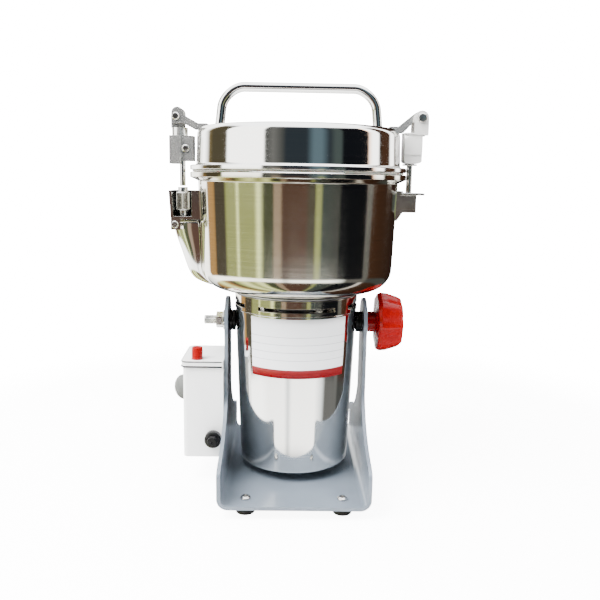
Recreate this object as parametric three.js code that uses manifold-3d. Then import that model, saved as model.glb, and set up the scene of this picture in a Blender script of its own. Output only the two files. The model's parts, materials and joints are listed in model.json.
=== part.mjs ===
// A tilting electric spice grinder: a lidded steel bowl over a motor can, swinging
// between the two arms of a painted sheet stand. Millimetres, +Z up, floor at zero,
// +X to the tilt lock knob, -Y to the front.

import * as THREE from 'three';
import { mergeVertices } from 'three/addons/utils/BufferGeometryUtils.js';
import Module from 'manifold-3d';

const wasm = await Module();
wasm.setup();

// How finely round shapes are divided
const wideSteps = 44;
const midSteps = 20;
const smallSteps = 12;
const arcSteps = 4;
const hexSides = 6;
const overrun = 2;

// Clearances
const seat = 0.3;
const running = 0.35;

// A pin's head to the pin, across
const pinHeadShare = 1.6;

const foot = { height: 7.7, radius: 9, taper: 1.6, edgeX: 22, edgeY: 15 };
const footScrew = { radius: 2, headRadius: 4.2, headHeight: 2.2, length: 8.5 };

// The arms stand a gap away from the can. Rises are counted from the plate's top
const stand = {
  sheet: 3, depth: 180, canGap: 5.5, bendRadius: 9, pivotRise: 131, headRadius: 21, columnInset: 2,
  flareRise: 69, footRise: 29, bendRise: 35, bendDepthShare: 0.4,
};

// The control box hangs on the outer side of the left arm. Places in it are counted from its corners
const box = { width: 34.7, rise: 14, height: 84, front: 25, back: 30, wall: 1.6, corner: 4 };
const boxLid = { skirt: 5, sheet: 1.4, grip: 0.9 };
const timer = {
  rise: 55, y: 2, stemRadius: 3, knobRadius: 11.2, knobLength: 11.2, rib: 0.6, width: 21, depth: 18,
};
const timerRibShare = 0.8;
const breaker = { inset: 11.5, front: 8.5, width: 13, depth: 12.6, height: 26, drop: 8 };
const button = { radius: 4.8, rise: 4, height: 16, travel: 3, stemRadius: 2, stemLength: 12 };
const fuse = { inset: 8.7, rise: 17.5, holderRadius: 6, holderLength: 34, capRadius: 7.2, capLength: 7 };
const fuseStep = { radius: 4.2, length: 4, stemRadius: 3, stemLength: 14 };
const gland = {
  inset: 17.7, rise: 14, flangeRadius: 9, flange: 2.5, nose: 9, noseRadius: 6.4, neckRadius: 6, bore: 3.2,
};

const can = { radius: 52.5, taper: 5, height: 135.2, above: 12.7, wall: 1.5, corner: 5 };
const canVents = { radius: 2.6, ringShare: 0.505, count: 8 };
const collar = { step: 0.5, wall: 3, height: 13 };
const slot = { rise: 3.3, height: 3.2, openShare: 0.8, count: 4 };
// A thin lip on the collar, and a waist above it that leaves a dark gap under the bowl
const upperFrame = {
  thickness: 4.4, lip: 1.2, lipInset: 0.6, waistInset: 9, hubRadius: 17, hubDepth: 16.8,
};
const lowerFrame = { rise: 21, sheet: 3, hubRadius: 16, hubDrop: 8.5, hubRise: 4, ventShare: 0.23 };
const bearing = { outerRadius: 11, width: 7, lowerInset: 1.5, upperInset: 0.5 };

const shaft = { radius: 5, tipStep: 1, below: 1, lowerStep: 1.5, shoulder: 2.5, clear: 2, proud: 2 };
const stator = { wallGap: 1, teeth: 1.8, yoke: 4 };
const rotorGap = 0.9;
const armature = { radiusShare: 0.585, coilShare: 0.76 };
const commutator = { radius: 13 };
const brush = { width: 6, height: 8, length: 18 };
const brushRing = { wallGap: 0.5, thickness: 8.5, height: 12, wall: 2 };
const fan = { wallGap: 5, hubRadius: 12, sheet: 1.4, vane: 1.4, count: 9 };
// Places along the motor, from the lower end frame's top to the upper one's hub
const motorShares = {
  commutatorFromShare: 0.045, commutatorToShare: 0.17, brushShare: 0.107,
  armatureFromShare: 0.245, armatureToShare: 0.615, armatureCoilFromShare: 0.19, armatureCoilToShare: 0.68,
  statorFromShare: 0.265, statorToShare: 0.6, statorCoilFromShare: 0.21, statorCoilToShare: 0.655,
  fanFromShare: 0.72, fanToShare: 0.82,
};

const bowl = {
  radius: 84, taper: 3, height: 96, floor: 3, wall: 2, corner: 18, neck: 7, overhang: 6.5, rim: 4.2,
  hole: 10.5,
};
const seal = { sink: 5.2, rise: 6.5, lip: 0.8 };
const blade = { sheet: 2, wallGap: 18, upperShorter: 28, width: 18, tip: 8, bend: 12, lift: 7 };
const bladeAngle = Math.PI / 5;
const bladeStack = { lift: 10.5, spacer: 8, nutHeight: 7, nutRadius: 8 };

const lid = { rise: 1.8, rim: 3.8, step: 1.3, taper: 0.9, height: 37, corner: 8, sheet: 1.6, crown: 0.8 };
const gasket = { inside: 6, inset: 2 };
const handle = { inset: 19, lean: 3.8, rise: 37, barRadius: 4, bend: 15, padRadius: 7, pad: 1.6 };

const pivot = { boltRadius: 4, headRadius: 7.5, headHeight: 4.5, spacerRadius: 9, boltOut: 19 };
const leftNut = { washerRadius: 9, washer: 2, radius: 7.4, height: 6.5 };
// Places along the lock knob are counted from the right arm's outer face
const knob = {
  clear: 0.4, hubRadius: 9, hub: 7.5, back: 9.5, rim: 12.5, length: 30.7, rimRadius: 25.2, backInset: 2.1,
  faceInset: 5.2, bevel: 2, bevelDepth: 4, lobes: 8, lobeDepthShare: 0.035,
};

// The hinge and the clamp hang outside the rim. Outs and ins are counted from the rim's edge,
// rises and drops from its top, unless another piece is named
const strapInset = 9.3;
const hinge = { out: 11, overLid: 10, eyeRadius: 6, armHalf: 5, pinRadius: 2.5, pinProud: 2.2, arm: 3 };
const post = {
  in: 2.5, out: 12.5, half: 9, rise: 9.7, underPin: 12, earFrom: 5, earTo: 17,
  bandHeight: 4.5, bandDepth: 0.7, bandLow: 2.8, bandHigh: 6,
};
const hingeRodBar = { out: 3.8, radius: 2.5, drop: 26, sunk: 8, collarRadius: 6.2, collar: 1.3 };
const hingeBracket = {
  in: 11.5, legOut: -2, legFoot: -6.5, blockOut: 9.4, plateOut: 16, half: 9, legTop: 13, blockTop: 16.1,
  blockBottom: 31, legBottom: 38, plate: 1.6, plateHalf: 10,
};

const latch = { out: 11.1, overLid: 7.9, pinRadius: 2, pinProud: 1.7, eyeRadius: 4.3, eyeHalf: 5 };
const latchEar = { from: 7.1, to: 14.7, overPin: 7.6, underPin: 5.5, half: 8, sheet: 2.5 };
// The clamp's head: a tall outer block, a lower inner one and a round neck up to the pin
const link = {
  out: 16.7, step: 7.5, in: 2.9, rise: 6.4, stepRise: 8.8, half: 9, stepHalf: 6.5, topUnderPin: 15.5,
  collarOut: 8.9, collarRadius: 6.7, collarUnderPin: 8.9, neckHalf: 4, neckUnderPin: 4.9,
};
const clampRod = { out: 7, radius: 2.5, sunk: 6.4, nutGap: 0.9 };
const nut = {
  radius: 5.7, bottom: 32.1, top: 16.9, neckRadius: 4.2, neckTop: 12.7, footRadius: 3.4, knurls: 14,
  knurlDepthShare: 0.05,
};
const cage = {
  out: 16.9, footOut: 15.4, in: 2.1, backIn: 11.5, wallTop: 15.5, floorTop: 36.8, floorBottom: 39.2,
  sheet: 2.3, half: 14.4, earSheet: 1.9, earBottom: 48, earFrom: 7.3,
};
const lever = {
  pinOut: 12, pinDrop: 43.6, pinRadius: 2, pinProud: 1.3, half: 12.2, sheet: 1.6, top: 40.7, clear: 0.7,
  edgeOut: 14.8, edgeDrop: 48, tipInset: 8.5, tipBelow: 0.7, lipIn: 1, lipUp: 1.7,
};
// The lever's outer edge, from its upper end to its tip: how far in and how far down
const leverEdgeShares = [
  [0, 0], [0.095, 0.185], [0.24, 0.47], [0.35, 0.7], [0.46, 0.83], [0.6, 0.905], [0.8, 0.953], [1, 1],
];

// Heights and widths that follow, from the floor up
const plateBottom = foot.height + seat;
const plateTop = plateBottom + stand.sheet;
const pivotHeight = plateTop + stand.pivotRise;
const armInner = can.radius + stand.canGap;
const armOuter = armInner + stand.sheet;

const boxInner = -armOuter - seat;
const boxOuter = boxInner - box.width;
const boxBottom = plateTop + box.rise;
const boxTop = boxBottom + box.height;

const canTop = pivotHeight + can.above;
const canBottom = canTop - can.height;
const canFoot = can.radius - can.taper;
const collarRadius = can.radius + collar.step;
const collarBottom = canTop + seat;
const frameBottom = collarBottom + collar.height + seat;
const frameTop = frameBottom + upperFrame.thickness;
const hubBottom = frameBottom - upperFrame.hubDepth;
const upperBearing = hubBottom + bearing.upperInset;
const lowerFrameBottom = canBottom + lowerFrame.rise;
const lowerFrameTop = lowerFrameBottom + lowerFrame.sheet;
const lowerHubBottom = lowerFrameBottom - lowerFrame.hubDrop;
const lowerHubTop = lowerFrameBottom + lowerFrame.hubRise;
const lowerBearing = lowerHubBottom + bearing.lowerInset;
const shaftTip = shaft.radius - shaft.tipStep;
const canInside = canFoot - can.wall;

const bowlBottom = frameTop + seat;
const bowlFoot = bowl.radius - bowl.taper;
const rimTop = bowlBottom + bowl.height;
const rimRadius = bowl.radius + bowl.overhang;
const bladeBottom = bowlBottom + bladeStack.lift;
const bladeTop = bladeBottom + 2 * blade.sheet + bladeStack.spacer + 2 * seat;
const bladeHole = shaftTip + seat;
const sealBottom = bowlBottom - seal.sink;

const lidRimBottom = rimTop + lid.rise;
const lidRimTop = lidRimBottom + lid.rim;
const lidRadius = bowl.radius + lid.step;
const lidTopRadius = lidRadius - lid.taper;
const lidTop = rimTop + lid.height;
const strapFoot = lidRadius - strapInset;

const hingeX = rimRadius + hinge.out;
const hingeZ = lidTop + hinge.overLid;
const postBottom = rimTop + post.rise;
const postTop = hingeZ - post.underPin;
const hingeRodX = rimRadius + hingeRodBar.out;
const hingeRodBottom = rimTop - hingeRodBar.drop;
const hingeRodTop = postTop - hingeRodBar.sunk;

const latchX = rimRadius + latch.out;
const latchZ = lidTop + latch.overLid;
const clampRodX = rimRadius + clampRod.out;
const nutNeckTop = rimTop - nut.neckTop;
const clampTop = latchZ - link.topUnderPin;
const leverPinX = rimRadius + lever.pinOut;
const leverPinZ = rimTop - lever.pinDrop;

// Finishes
const finish = {
  paint: [0xa9b6c4, 0.35, 0.2],
  steel: [0xc9c7c2, 0.22, 1],
  mirror: [0xd6d6d6, 0.08, 1],
  cast: [0x9a9a9c, 0.5, 1],
  black: [0x151515, 0.5, 0],
  rubber: [0x101010, 0.8, 0],
  red: [0xe01218, 0.25, 0],
  grey: [0x9fa09c, 0.4, 0],
  white: [0xe9e9e4, 0.4, 0.1],
  seal: [0xd8d4cc, 0.6, 0],
  iron: [0x6c6e72, 0.5, 1],
  copper: [0xb5713c, 0.4, 1],
  carbon: [0x2a2a2c, 0.7, 0],
};

// Solids from three.js geometry

function solidOf(geometry) {
  const bare = geometry.clone();
  bare.deleteAttribute('normal');
  if (bare.attributes.uv) bare.deleteAttribute('uv');
  const whole = mergeVertices(bare);
  const corners = [];
  const index = whole.index.array;
  for (let i = 0; i < index.length; i += 3) {
    const [a, b, c] = [index[i], index[i + 1], index[i + 2]];
    if (a !== b && b !== c && c !== a) corners.push(a, b, c);
  }
  const vertProperties = new Float32Array(whole.attributes.position.array);
  const triVerts = new Uint32Array(corners);
  if (signedVolume(vertProperties, triVerts) < 0) triVerts.reverse();
  return new wasm.Manifold(new wasm.Mesh({ numProp: 3, vertProperties, triVerts }));
}

function signedVolume(points, corners) {
  const at = (i) => new THREE.Vector3().fromArray(points, 3 * i);
  let total = 0;
  for (let i = 0; i < corners.length; i += 3) {
    total += at(corners[i]).dot(at(corners[i + 1]).cross(at(corners[i + 2])));
  }
  return total;
}

function geometryOf(solid) {
  const { vertProperties, triVerts } = solid.getMesh();
  const geometry = new THREE.BufferGeometry();
  geometry.setAttribute('position', new THREE.BufferAttribute(new Float32Array(vertProperties), 3));
  geometry.setIndex(new THREE.BufferAttribute(new Uint32Array(triVerts), 1));
  geometry.computeVertexNormals();
  return geometry;
}

const joined = (first, ...others) => others.reduce((sum, next) => sum.add(next), first);
const cut = (first, ...tools) => tools.reduce((rest, tool) => rest.subtract(tool), first);

// A block between two corners
function block(x0, x1, y0, y1, z0, z1) {
  const shape = new THREE.BoxGeometry(Math.abs(x1 - x0), Math.abs(y1 - y0), Math.abs(z1 - z0));
  shape.translate((x0 + x1) / 2, (y0 + y1) / 2, (z0 + z1) / 2);
  return solidOf(shape);
}

// A round bar along one axis, from one place to another on it
function bar(axis, radius, from, to, x = 0, y = 0, z = 0, steps = smallSteps) {
  const shape = new THREE.CylinderGeometry(radius, radius, Math.abs(to - from), steps);
  const middle = (from + to) / 2;
  if (axis === 'x') shape.rotateZ(Math.PI / 2).translate(middle, y, z);
  if (axis === 'y') shape.translate(x, middle, z);
  if (axis === 'z') shape.rotateX(Math.PI / 2).translate(x, y, middle);
  return solidOf(shape);
}

// A solid of revolution about Z, from [radius, height] corners of a closed outline
function turned(profile, steps = wideSteps) {
  const outline = profile.map(([r, z]) => new THREE.Vector2(r, z));
  outline.push(outline[0].clone());
  return solidOf(new THREE.LatheGeometry(outline, steps).rotateX(Math.PI / 2));
}

const tube = (inner, outer, bottom, top, steps = wideSteps) =>
  turned([[inner, bottom], [outer, bottom], [outer, top], [inner, top]], steps);

// A quarter round of an outline, from one angle to another about a centre
function arc(centreR, centreZ, radius, from, to) {
  const points = [];
  for (let i = 0; i <= arcSteps; i += 1) {
    const angle = from + ((to - from) * i) / arcSteps;
    points.push([centreR + radius * Math.cos(angle), centreZ + radius * Math.sin(angle)]);
  }
  return points;
}

// A wedge about Z between two heights, for cutting a ring open
function wedge(radius, halfAngle, bottom, top) {
  const plan = new THREE.Shape();
  plan.moveTo(0, 0);
  plan.absarc(0, 0, radius, -halfAngle, halfAngle, false);
  const solid = new THREE.ExtrudeGeometry(plan, {
    depth: top - bottom, bevelEnabled: false, curveSegments: 2 * arcSteps,
  });
  return solidOf(solid.translate(0, 0, bottom));
}

// A plate drawn in X and Z, standing across Y
function acrossY(shape, y0, y1) {
  const plate = new THREE.ExtrudeGeometry(shape, {
    depth: y1 - y0, bevelEnabled: false, curveSegments: arcSteps,
  });
  return solidOf(plate.rotateX(Math.PI / 2).translate(0, y1, 0));
}

// A plate drawn in Y and Z, standing across X
function acrossX(shape, x0, x1) {
  const plate = new THREE.ExtrudeGeometry(shape, {
    depth: x1 - x0, bevelEnabled: false, curveSegments: 2 * arcSteps,
  });
  return solidOf(plate.rotateX(Math.PI / 2).rotateZ(Math.PI / 2).translate(x0, 0, 0));
}

const polygon = (points) => new THREE.Shape(points.map(([x, z]) => new THREE.Vector2(x, z)));

// The same thing on both sides of the middle plane, between two distances from it
const bothSides = (near, far, make) =>
  [-1, 1].map((side) => make(Math.min(side * near, side * far), Math.max(side * near, side * far)));

function around(count, make) {
  return Array.from({ length: count }, (_, i) => make((2 * Math.PI * i) / count));
}

function turn(solid, angle) {
  return solid.rotate([0, 0, THREE.MathUtils.radToDeg(angle)]);
}

// A pin across Y with a head at each end, outside what it holds
function headedPin(radius, held, proud, x, z) {
  const far = held + seat;
  const end = far + proud;
  return joined(
    bar('y', radius, -end, end, x, 0, z),
    ...bothSides(far, end, (y0, y1) => bar('y', radius * pinHeadShare, y0, y1, x, 0, z)),
  );
}

const pinHole = (radius, held, x, z) => bar('y', radius + running, -held - overrun, held + overrun, x, 0, z);

function piece(name, solid, [color, roughness, metalness]) {
  const material = new THREE.MeshStandardMaterial({ color, roughness, metalness });
  const mesh = new THREE.Mesh(geometryOf(solid), material);
  mesh.name = name;
  return mesh;
}

function group(height, ...members) {
  const parts = new THREE.Group();
  parts.position.z = height;
  parts.add(...members);
  return parts;
}

// Stand

function bentSheet() {
  const { bendRadius: r, sheet } = stand;
  const top = pivotHeight + stand.headRadius;
  const section = new THREE.Shape();
  section.moveTo(-armOuter, top);
  section.absarc(-armOuter + r, plateBottom + r, r, Math.PI, 1.5 * Math.PI, false);
  section.absarc(armOuter - r, plateBottom + r, r, 1.5 * Math.PI, 2 * Math.PI, false);
  section.lineTo(armOuter, top);
  section.lineTo(armInner, top);
  section.absarc(armOuter - r, plateBottom + r, r - sheet, 2 * Math.PI, 1.5 * Math.PI, true);
  section.absarc(-armOuter + r, plateBottom + r, r - sheet, 1.5 * Math.PI, Math.PI, true);
  section.lineTo(-armInner, top);
  return acrossY(section, -stand.depth / 2, stand.depth / 2);
}

function armOutline() {
  const half = stand.depth / 2;
  const column = stand.headRadius - stand.columnInset;
  const bend = half * stand.bendDepthShare;
  const neck = Math.acos(column / stand.headRadius);
  const footHeight = plateTop + stand.footRise;
  const bendHeight = plateTop + stand.bendRise;
  const flareHeight = plateTop + stand.flareRise;
  const side = new THREE.Shape();
  side.moveTo(-half, plateBottom - overrun);
  side.lineTo(half, plateBottom - overrun);
  side.lineTo(half, footHeight);
  side.quadraticCurveTo(bend, bendHeight, column, flareHeight);
  side.absarc(0, pivotHeight, stand.headRadius, -neck, Math.PI + neck, false);
  side.lineTo(-column, flareHeight);
  side.quadraticCurveTo(-bend, bendHeight, -half, footHeight);
  return side;
}

function standFrame() {
  const wide = armOuter + overrun;
  const sheet = bentSheet().intersect(acrossX(armOutline(), -wide, wide));
  const pivotHole = bar('x', pivot.boltRadius + running, -wide, wide, 0, 0, pivotHeight);
  const screwHoles = feetPlaces().map(([x, y]) =>
    bar('z', footScrew.radius + running, plateBottom - overrun, plateTop + overrun, x, y));
  return piece('stand_frame', cut(sheet, pivotHole, ...screwHoles), finish.paint);
}

function feetPlaces() {
  const places = [];
  const farX = armOuter - foot.edgeX;
  const farY = stand.depth / 2 - foot.edgeY;
  for (const y of [-farY, farY]) {
    for (const x of [-farX, farX]) places.push([x, y]);
  }
  return places;
}

function feetAndScrews() {
  const headBottom = plateTop + seat;
  const shankBottom = headBottom - footScrew.length;
  return feetPlaces().flatMap(([x, y], i) => {
    const { height, radius, taper } = foot;
    const body = turned([[0, 0], [radius - taper, 0], [radius, height], [0, height]], smallSteps);
    const bore = bar('z', footScrew.radius + running, shankBottom - seat, height + overrun);
    const pad = piece(`foot_${i + 1}`, cut(body, bore), finish.rubber);
    const screw = piece(`foot_screw_${i + 1}`, joined(
      bar('z', footScrew.headRadius, headBottom, headBottom + footScrew.headHeight),
      bar('z', footScrew.radius, shankBottom, headBottom + footScrew.headHeight / 2),
    ), finish.steel);
    pad.position.set(x, y, 0);
    screw.position.set(x, y, 0);
    return [pad, screw];
  });
}

// Control box on the outer side of the left arm

const timerZ = boxBottom + timer.rise;
const breakerX = boxOuter + breaker.inset;
const breakerY = breaker.front - box.front;
const breakerTop = boxTop - breaker.drop;
const fuseX = boxInner - fuse.inset;
const fuseZ = boxBottom + fuse.rise;
const glandX = boxInner - gland.inset;
const glandZ = boxBottom + gland.rise;

function roundedPrism(x0, x1, y0, y1, z0, z1, radius) {
  const shape = new THREE.Shape();
  shape.moveTo(x1, y0);
  shape.lineTo(x1, y1);
  shape.absarc(x0 + radius, y1 - radius, radius, 0.5 * Math.PI, Math.PI, false);
  shape.absarc(x0 + radius, y0 + radius, radius, Math.PI, 1.5 * Math.PI, false);
  const prism = new THREE.ExtrudeGeometry(shape, {
    depth: z1 - z0, bevelEnabled: false, curveSegments: arcSteps,
  });
  return solidOf(prism.translate(0, 0, z0));
}

function controlBox() {
  const { wall, corner, front, back } = box;
  const outside = roundedPrism(boxOuter, boxInner, -front, back, boxBottom, boxTop, corner);
  const inside = roundedPrism(boxOuter + wall, boxInner - wall, -front + wall, back - wall,
    boxBottom + wall, boxTop + overrun, corner - wall);
  const timerHole = bar('x', timer.stemRadius + running, boxOuter - overrun, boxOuter + wall + overrun,
    0, timer.y, timerZ);
  const fuseHole = bar('y', fuse.holderRadius + running, -front - overrun, -front + wall + overrun,
    fuseX, 0, fuseZ);
  const glandHole = bar('y', gland.neckRadius + running, back - wall - overrun, back + overrun,
    glandX, 0, glandZ);
  return piece('control_box', cut(outside, inside, timerHole, fuseHole, glandHole), finish.white);
}

function controlBoxLid() {
  const { sheet, skirt, grip } = boxLid;
  const out = grip + seat;
  const top = boxTop + seat + sheet;
  const outside = roundedPrism(boxOuter - out, boxInner, -box.front - out, box.back + out, top - skirt, top,
    box.corner + out);
  const inside = roundedPrism(boxOuter - seat, boxInner + overrun, -box.front - seat, box.back + seat,
    top - skirt - overrun, boxTop + seat, box.corner + seat);
  const hole = bar('z', button.radius + running, boxTop - overrun, top + overrun, breakerX, breakerY);
  return piece('control_box_lid', cut(outside, inside, hole), finish.white);
}

function timerSwitch() {
  const face = boxOuter + box.wall + seat;
  const { width, depth, y, stemRadius } = timer;
  const half = width / 2;
  const body = block(face, face + depth, y - half, y + half, timerZ - half, timerZ + half);
  const bore = bar('x', stemRadius + running, face - overrun, face + depth / 2 + seat, 0, y, timerZ);
  return piece('timer_switch', cut(body, bore), finish.black);
}

function timerKnob() {
  const { knobRadius: r, knobLength: length, rib, stemRadius, y } = timer;
  const stemEnd = -(box.wall + seat + timer.depth / 2);
  const dome = turned([
    [0, stemEnd], [stemRadius, stemEnd], [stemRadius, 0], [r + rib, 0], [r + rib, length / 4],
    [r, length / 3], ...arc(r - length / 3, length * 2 / 3, length / 3, 0, Math.PI / 2), [0, length],
  ], midSteps);
  const half = stemRadius / 2;
  const grip = block(-half, half, -r * timerRibShare, r * timerRibShare, length / 2, length);
  const mesh = piece('timer_knob', joined(dome, grip), finish.grey);
  mesh.rotation.y = -Math.PI / 2;
  mesh.position.set(boxOuter - seat, y, timerZ);
  return mesh;
}

function overloadBreaker() {
  const { width, depth, height } = breaker;
  const body = block(breakerX - width / 2, breakerX + width / 2, breakerY - depth / 2, breakerY + depth / 2,
    breakerTop - height, breakerTop);
  const boreBottom = breakerTop - button.stemLength - button.travel - overrun;
  const bore = bar('z', button.stemRadius + running, boreBottom, breakerTop + overrun, breakerX, breakerY);
  return piece('overload_breaker', cut(body, bore), finish.black);
}

function resetButton() {
  const { radius, height, stemRadius, stemLength } = button;
  const crown = radius / 3;
  const cap = turned([
    [0, -stemLength], [stemRadius, -stemLength], [stemRadius, 0], [radius, 0],
    ...arc(radius - crown, height - crown, crown, 0, Math.PI / 2), [0, height],
  ], midSteps);
  const mesh = piece('reset_button', cap, finish.red);
  mesh.position.set(breakerX, breakerY, breakerTop + button.rise);
  return mesh;
}

function fuseHolder() {
  const front = -box.front - seat;
  const body = bar('y', fuse.holderRadius, front, front + fuse.holderLength, fuseX, 0, fuseZ, midSteps);
  const bore = bar('y', fuseStep.stemRadius + running, front - overrun, front + fuseStep.stemLength + overrun,
    fuseX, 0, fuseZ);
  return piece('fuse_holder', cut(body, bore), finish.black);
}

function fuseCap() {
  const { capRadius: r, capLength } = fuse;
  const { radius, length, stemRadius, stemLength } = fuseStep;
  const bevel = r / 5;
  const cap = turned([
    [0, -stemLength], [stemRadius, -stemLength], [stemRadius, 0], [r, 0], [r, capLength - bevel],
    [r - bevel, capLength], [radius, capLength], [radius, capLength + length], [0, capLength + length],
  ], midSteps);
  const slotCut = block(-radius - overrun, radius + overrun, -stemRadius / 4, stemRadius / 4,
    capLength + length / 2, capLength + length + overrun);
  const mesh = piece('fuse_cap', cut(cap, slotCut), finish.black);
  mesh.rotation.x = Math.PI / 2;
  mesh.position.set(fuseX, -box.front - 2 * seat, fuseZ);
  return mesh;
}

function cordGland() {
  const { flangeRadius, flange, nose, noseRadius, neckRadius, bore } = gland;
  const neck = -(box.wall + 2 * seat + flange);
  const body = turned([
    [bore, neck], [neckRadius, neck], [neckRadius, 0], [flangeRadius, 0], [flangeRadius, flange],
    [noseRadius, flange + seat], [noseRadius - seat, nose], [bore, nose],
  ], midSteps);
  const mesh = piece('cord_gland', body, finish.black);
  mesh.rotation.x = -Math.PI / 2;
  mesh.position.set(glandX, box.back + seat, glandZ);
  return mesh;
}

// Motor can and frames

const canRadiusAt = (z) => canFoot + (can.taper * (z - canBottom)) / can.height;

function motorCan() {
  const { radius, wall, corner } = can;
  const shell = turned([
    [0, canBottom], ...arc(canFoot - corner, canBottom + corner, corner, -Math.PI / 2, 0), [radius, canTop],
    [radius - wall, canTop], ...arc(canFoot - corner, canBottom + corner, corner - wall, 0, -Math.PI / 2),
    [0, canBottom + wall],
  ]);
  const wide = radius + overrun;
  const pivots = bar('x', pivot.boltRadius + running, -wide, wide, 0, 0, pivotHeight);
  const ring = canFoot * canVents.ringShare;
  const vents = around(canVents.count, (angle) => bar('z', canVents.radius, canBottom - overrun,
    canBottom + wall + overrun, ring * Math.cos(angle), ring * Math.sin(angle), 0, arcSteps * 2));
  return piece('motor_can', cut(shell, pivots, ...vents), finish.mirror);
}

function ventCollar() {
  const inner = collarRadius - collar.wall;
  const ring = tube(inner, collarRadius, collarBottom, collarBottom + collar.height);
  const bottom = collarBottom + slot.rise;
  const halfAngle = (Math.PI * slot.openShare) / slot.count;
  const opening = wedge(collarRadius + overrun, halfAngle, bottom, bottom + slot.height);
  const slots = around(slot.count, (angle) => turn(opening, angle));
  return piece('vent_collar', cut(ring, ...slots), finish.steel);
}

function upperEndFrame() {
  const pocket = bearing.outerRadius + seat;
  const pocketTop = upperBearing + bearing.width + seat;
  const sealPocket = sealBottom - seat;
  const throat = shaft.radius + shaft.clear;
  const lipTop = frameBottom + upperFrame.lip;
  const lipRadius = collarRadius - upperFrame.lipInset;
  const waist = collarRadius - upperFrame.waistInset;
  const plate = turned([
    [pocket, hubBottom], [upperFrame.hubRadius, hubBottom], [upperFrame.hubRadius, frameBottom],
    [lipRadius, frameBottom], [lipRadius, lipTop], [waist, lipTop], [waist, frameTop], [bowl.hole, frameTop],
    [bowl.hole, sealPocket], [throat, sealPocket], [throat, pocketTop], [pocket, pocketTop],
  ]);
  return piece('upper_end_frame', plate, finish.cast);
}

function lowerEndFrame() {
  const { hubRadius, ventShare } = lowerFrame;
  const pocket = bearing.outerRadius + seat;
  const pocketTop = lowerBearing + bearing.width + seat;
  const throat = shaftTip + shaft.clear;
  const rim = canRadiusAt(lowerFrameBottom) - can.wall - seat;
  const disc = turned([
    [pocket, lowerHubBottom], [hubRadius, lowerHubBottom], [hubRadius, lowerFrameBottom],
    [rim, lowerFrameBottom], [rim, lowerFrameTop], [hubRadius, lowerFrameTop], [hubRadius, lowerHubTop],
    [throat, lowerHubTop], [throat, pocketTop], [pocket, pocketTop],
  ]);
  const ring = (rim + hubRadius) / 2;
  const vents = around(canVents.count / 2, (angle) => bar('z', (rim - hubRadius) * ventShare,
    lowerFrameBottom - overrun, lowerFrameTop + overrun, ring * Math.cos(angle), ring * Math.sin(angle)));
  return piece('lower_end_frame', cut(disc, ...vents), finish.cast);
}

function bearings() {
  const { outerRadius, width } = bearing;
  const lower = tube(shaftTip + seat, outerRadius, lowerBearing, lowerBearing + width, midSteps);
  const upper = tube(shaft.radius + seat, outerRadius, upperBearing, upperBearing + width, midSteps);
  return [piece('lower_bearing', lower, finish.steel), piece('upper_bearing', upper, finish.steel)];
}

// Motor

const alongMotor = (share) => lowerFrameTop + (hubBottom - lowerFrameTop) * share;
const statorOuter = canInside - stator.wallGap;
const armatureRadius = statorOuter * armature.radiusShare;

function statorCore() {
  const inner = armatureRadius + rotorGap;
  const coilInner = inner + stator.teeth;
  const coilOuter = statorOuter - stator.yoke;
  const [bottom, top] = [alongMotor(motorShares.statorFromShare), alongMotor(motorShares.statorToShare)];
  const coilBottom = alongMotor(motorShares.statorCoilFromShare);
  const coilTop = alongMotor(motorShares.statorCoilToShare);
  const core = turned([
    [inner, bottom], [coilInner, bottom], [coilInner, coilBottom], [coilOuter, coilBottom],
    [coilOuter, bottom],
    [statorOuter, bottom], [statorOuter, top], [coilOuter, top], [coilOuter, coilTop], [coilInner, coilTop],
    [coilInner, top], [inner, top],
  ], midSteps);
  return piece('stator', core, finish.iron);
}

function brushParts() {
  const { height, wall } = brushRing;
  const outer = canInside - brushRing.wallGap;
  const inner = outer - brushRing.thickness;
  const z = alongMotor(motorShares.brushShare);
  const end = commutator.radius + brush.length;
  const half = brush.width / 2;
  const halfTall = brush.height / 2;
  const clear = half + seat;
  const clearTall = halfTall + seat;
  const [low, high] = [z - height / 2, z + height / 2];
  const ring = tube(inner, outer, low, high, midSteps);
  const arms = block(-inner - wall, inner + wall, -clear - wall, clear + wall, low, high);
  const middle = bar('z', commutator.radius + wall, z - height, z + height, 0, 0, 0, midSteps);
  const channel = block(-end - seat, end + seat, -clear, clear, z - clearTall, z + clearTall);
  const holder = cut(joined(ring, arms), middle, channel);
  const start = commutator.radius + seat;
  const carbon = (side) => block(side * start, side * end, -half, half, z - halfTall, z + halfTall);
  return [
    piece('brush_holder', holder, finish.black),
    piece('carbon_brush_left', carbon(-1), finish.carbon),
    piece('carbon_brush_right', carbon(1), finish.carbon),
  ];
}

function motorShaft() {
  const bottom = lowerBearing - shaft.below;
  const lowerTop = lowerHubTop + shaft.lowerStep;
  const shoulder = shaft.radius + shaft.shoulder;
  const shoulderTop = bladeBottom - seat;
  const shoulderBottom = shoulderTop - blade.sheet;
  const tip = bladeTop + bladeStack.nutHeight + shaft.proud;
  const spindle = turned([
    [0, bottom], [shaftTip, bottom], [shaftTip, lowerTop], [shaft.radius, lowerTop],
    [shaft.radius, shoulderBottom], [shoulder, shoulderBottom], [shoulder, shoulderTop],
    [shaftTip, shoulderTop], [shaftTip, tip], [0, tip],
  ], midSteps);
  return piece('motor_shaft', spindle, finish.steel);
}

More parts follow.
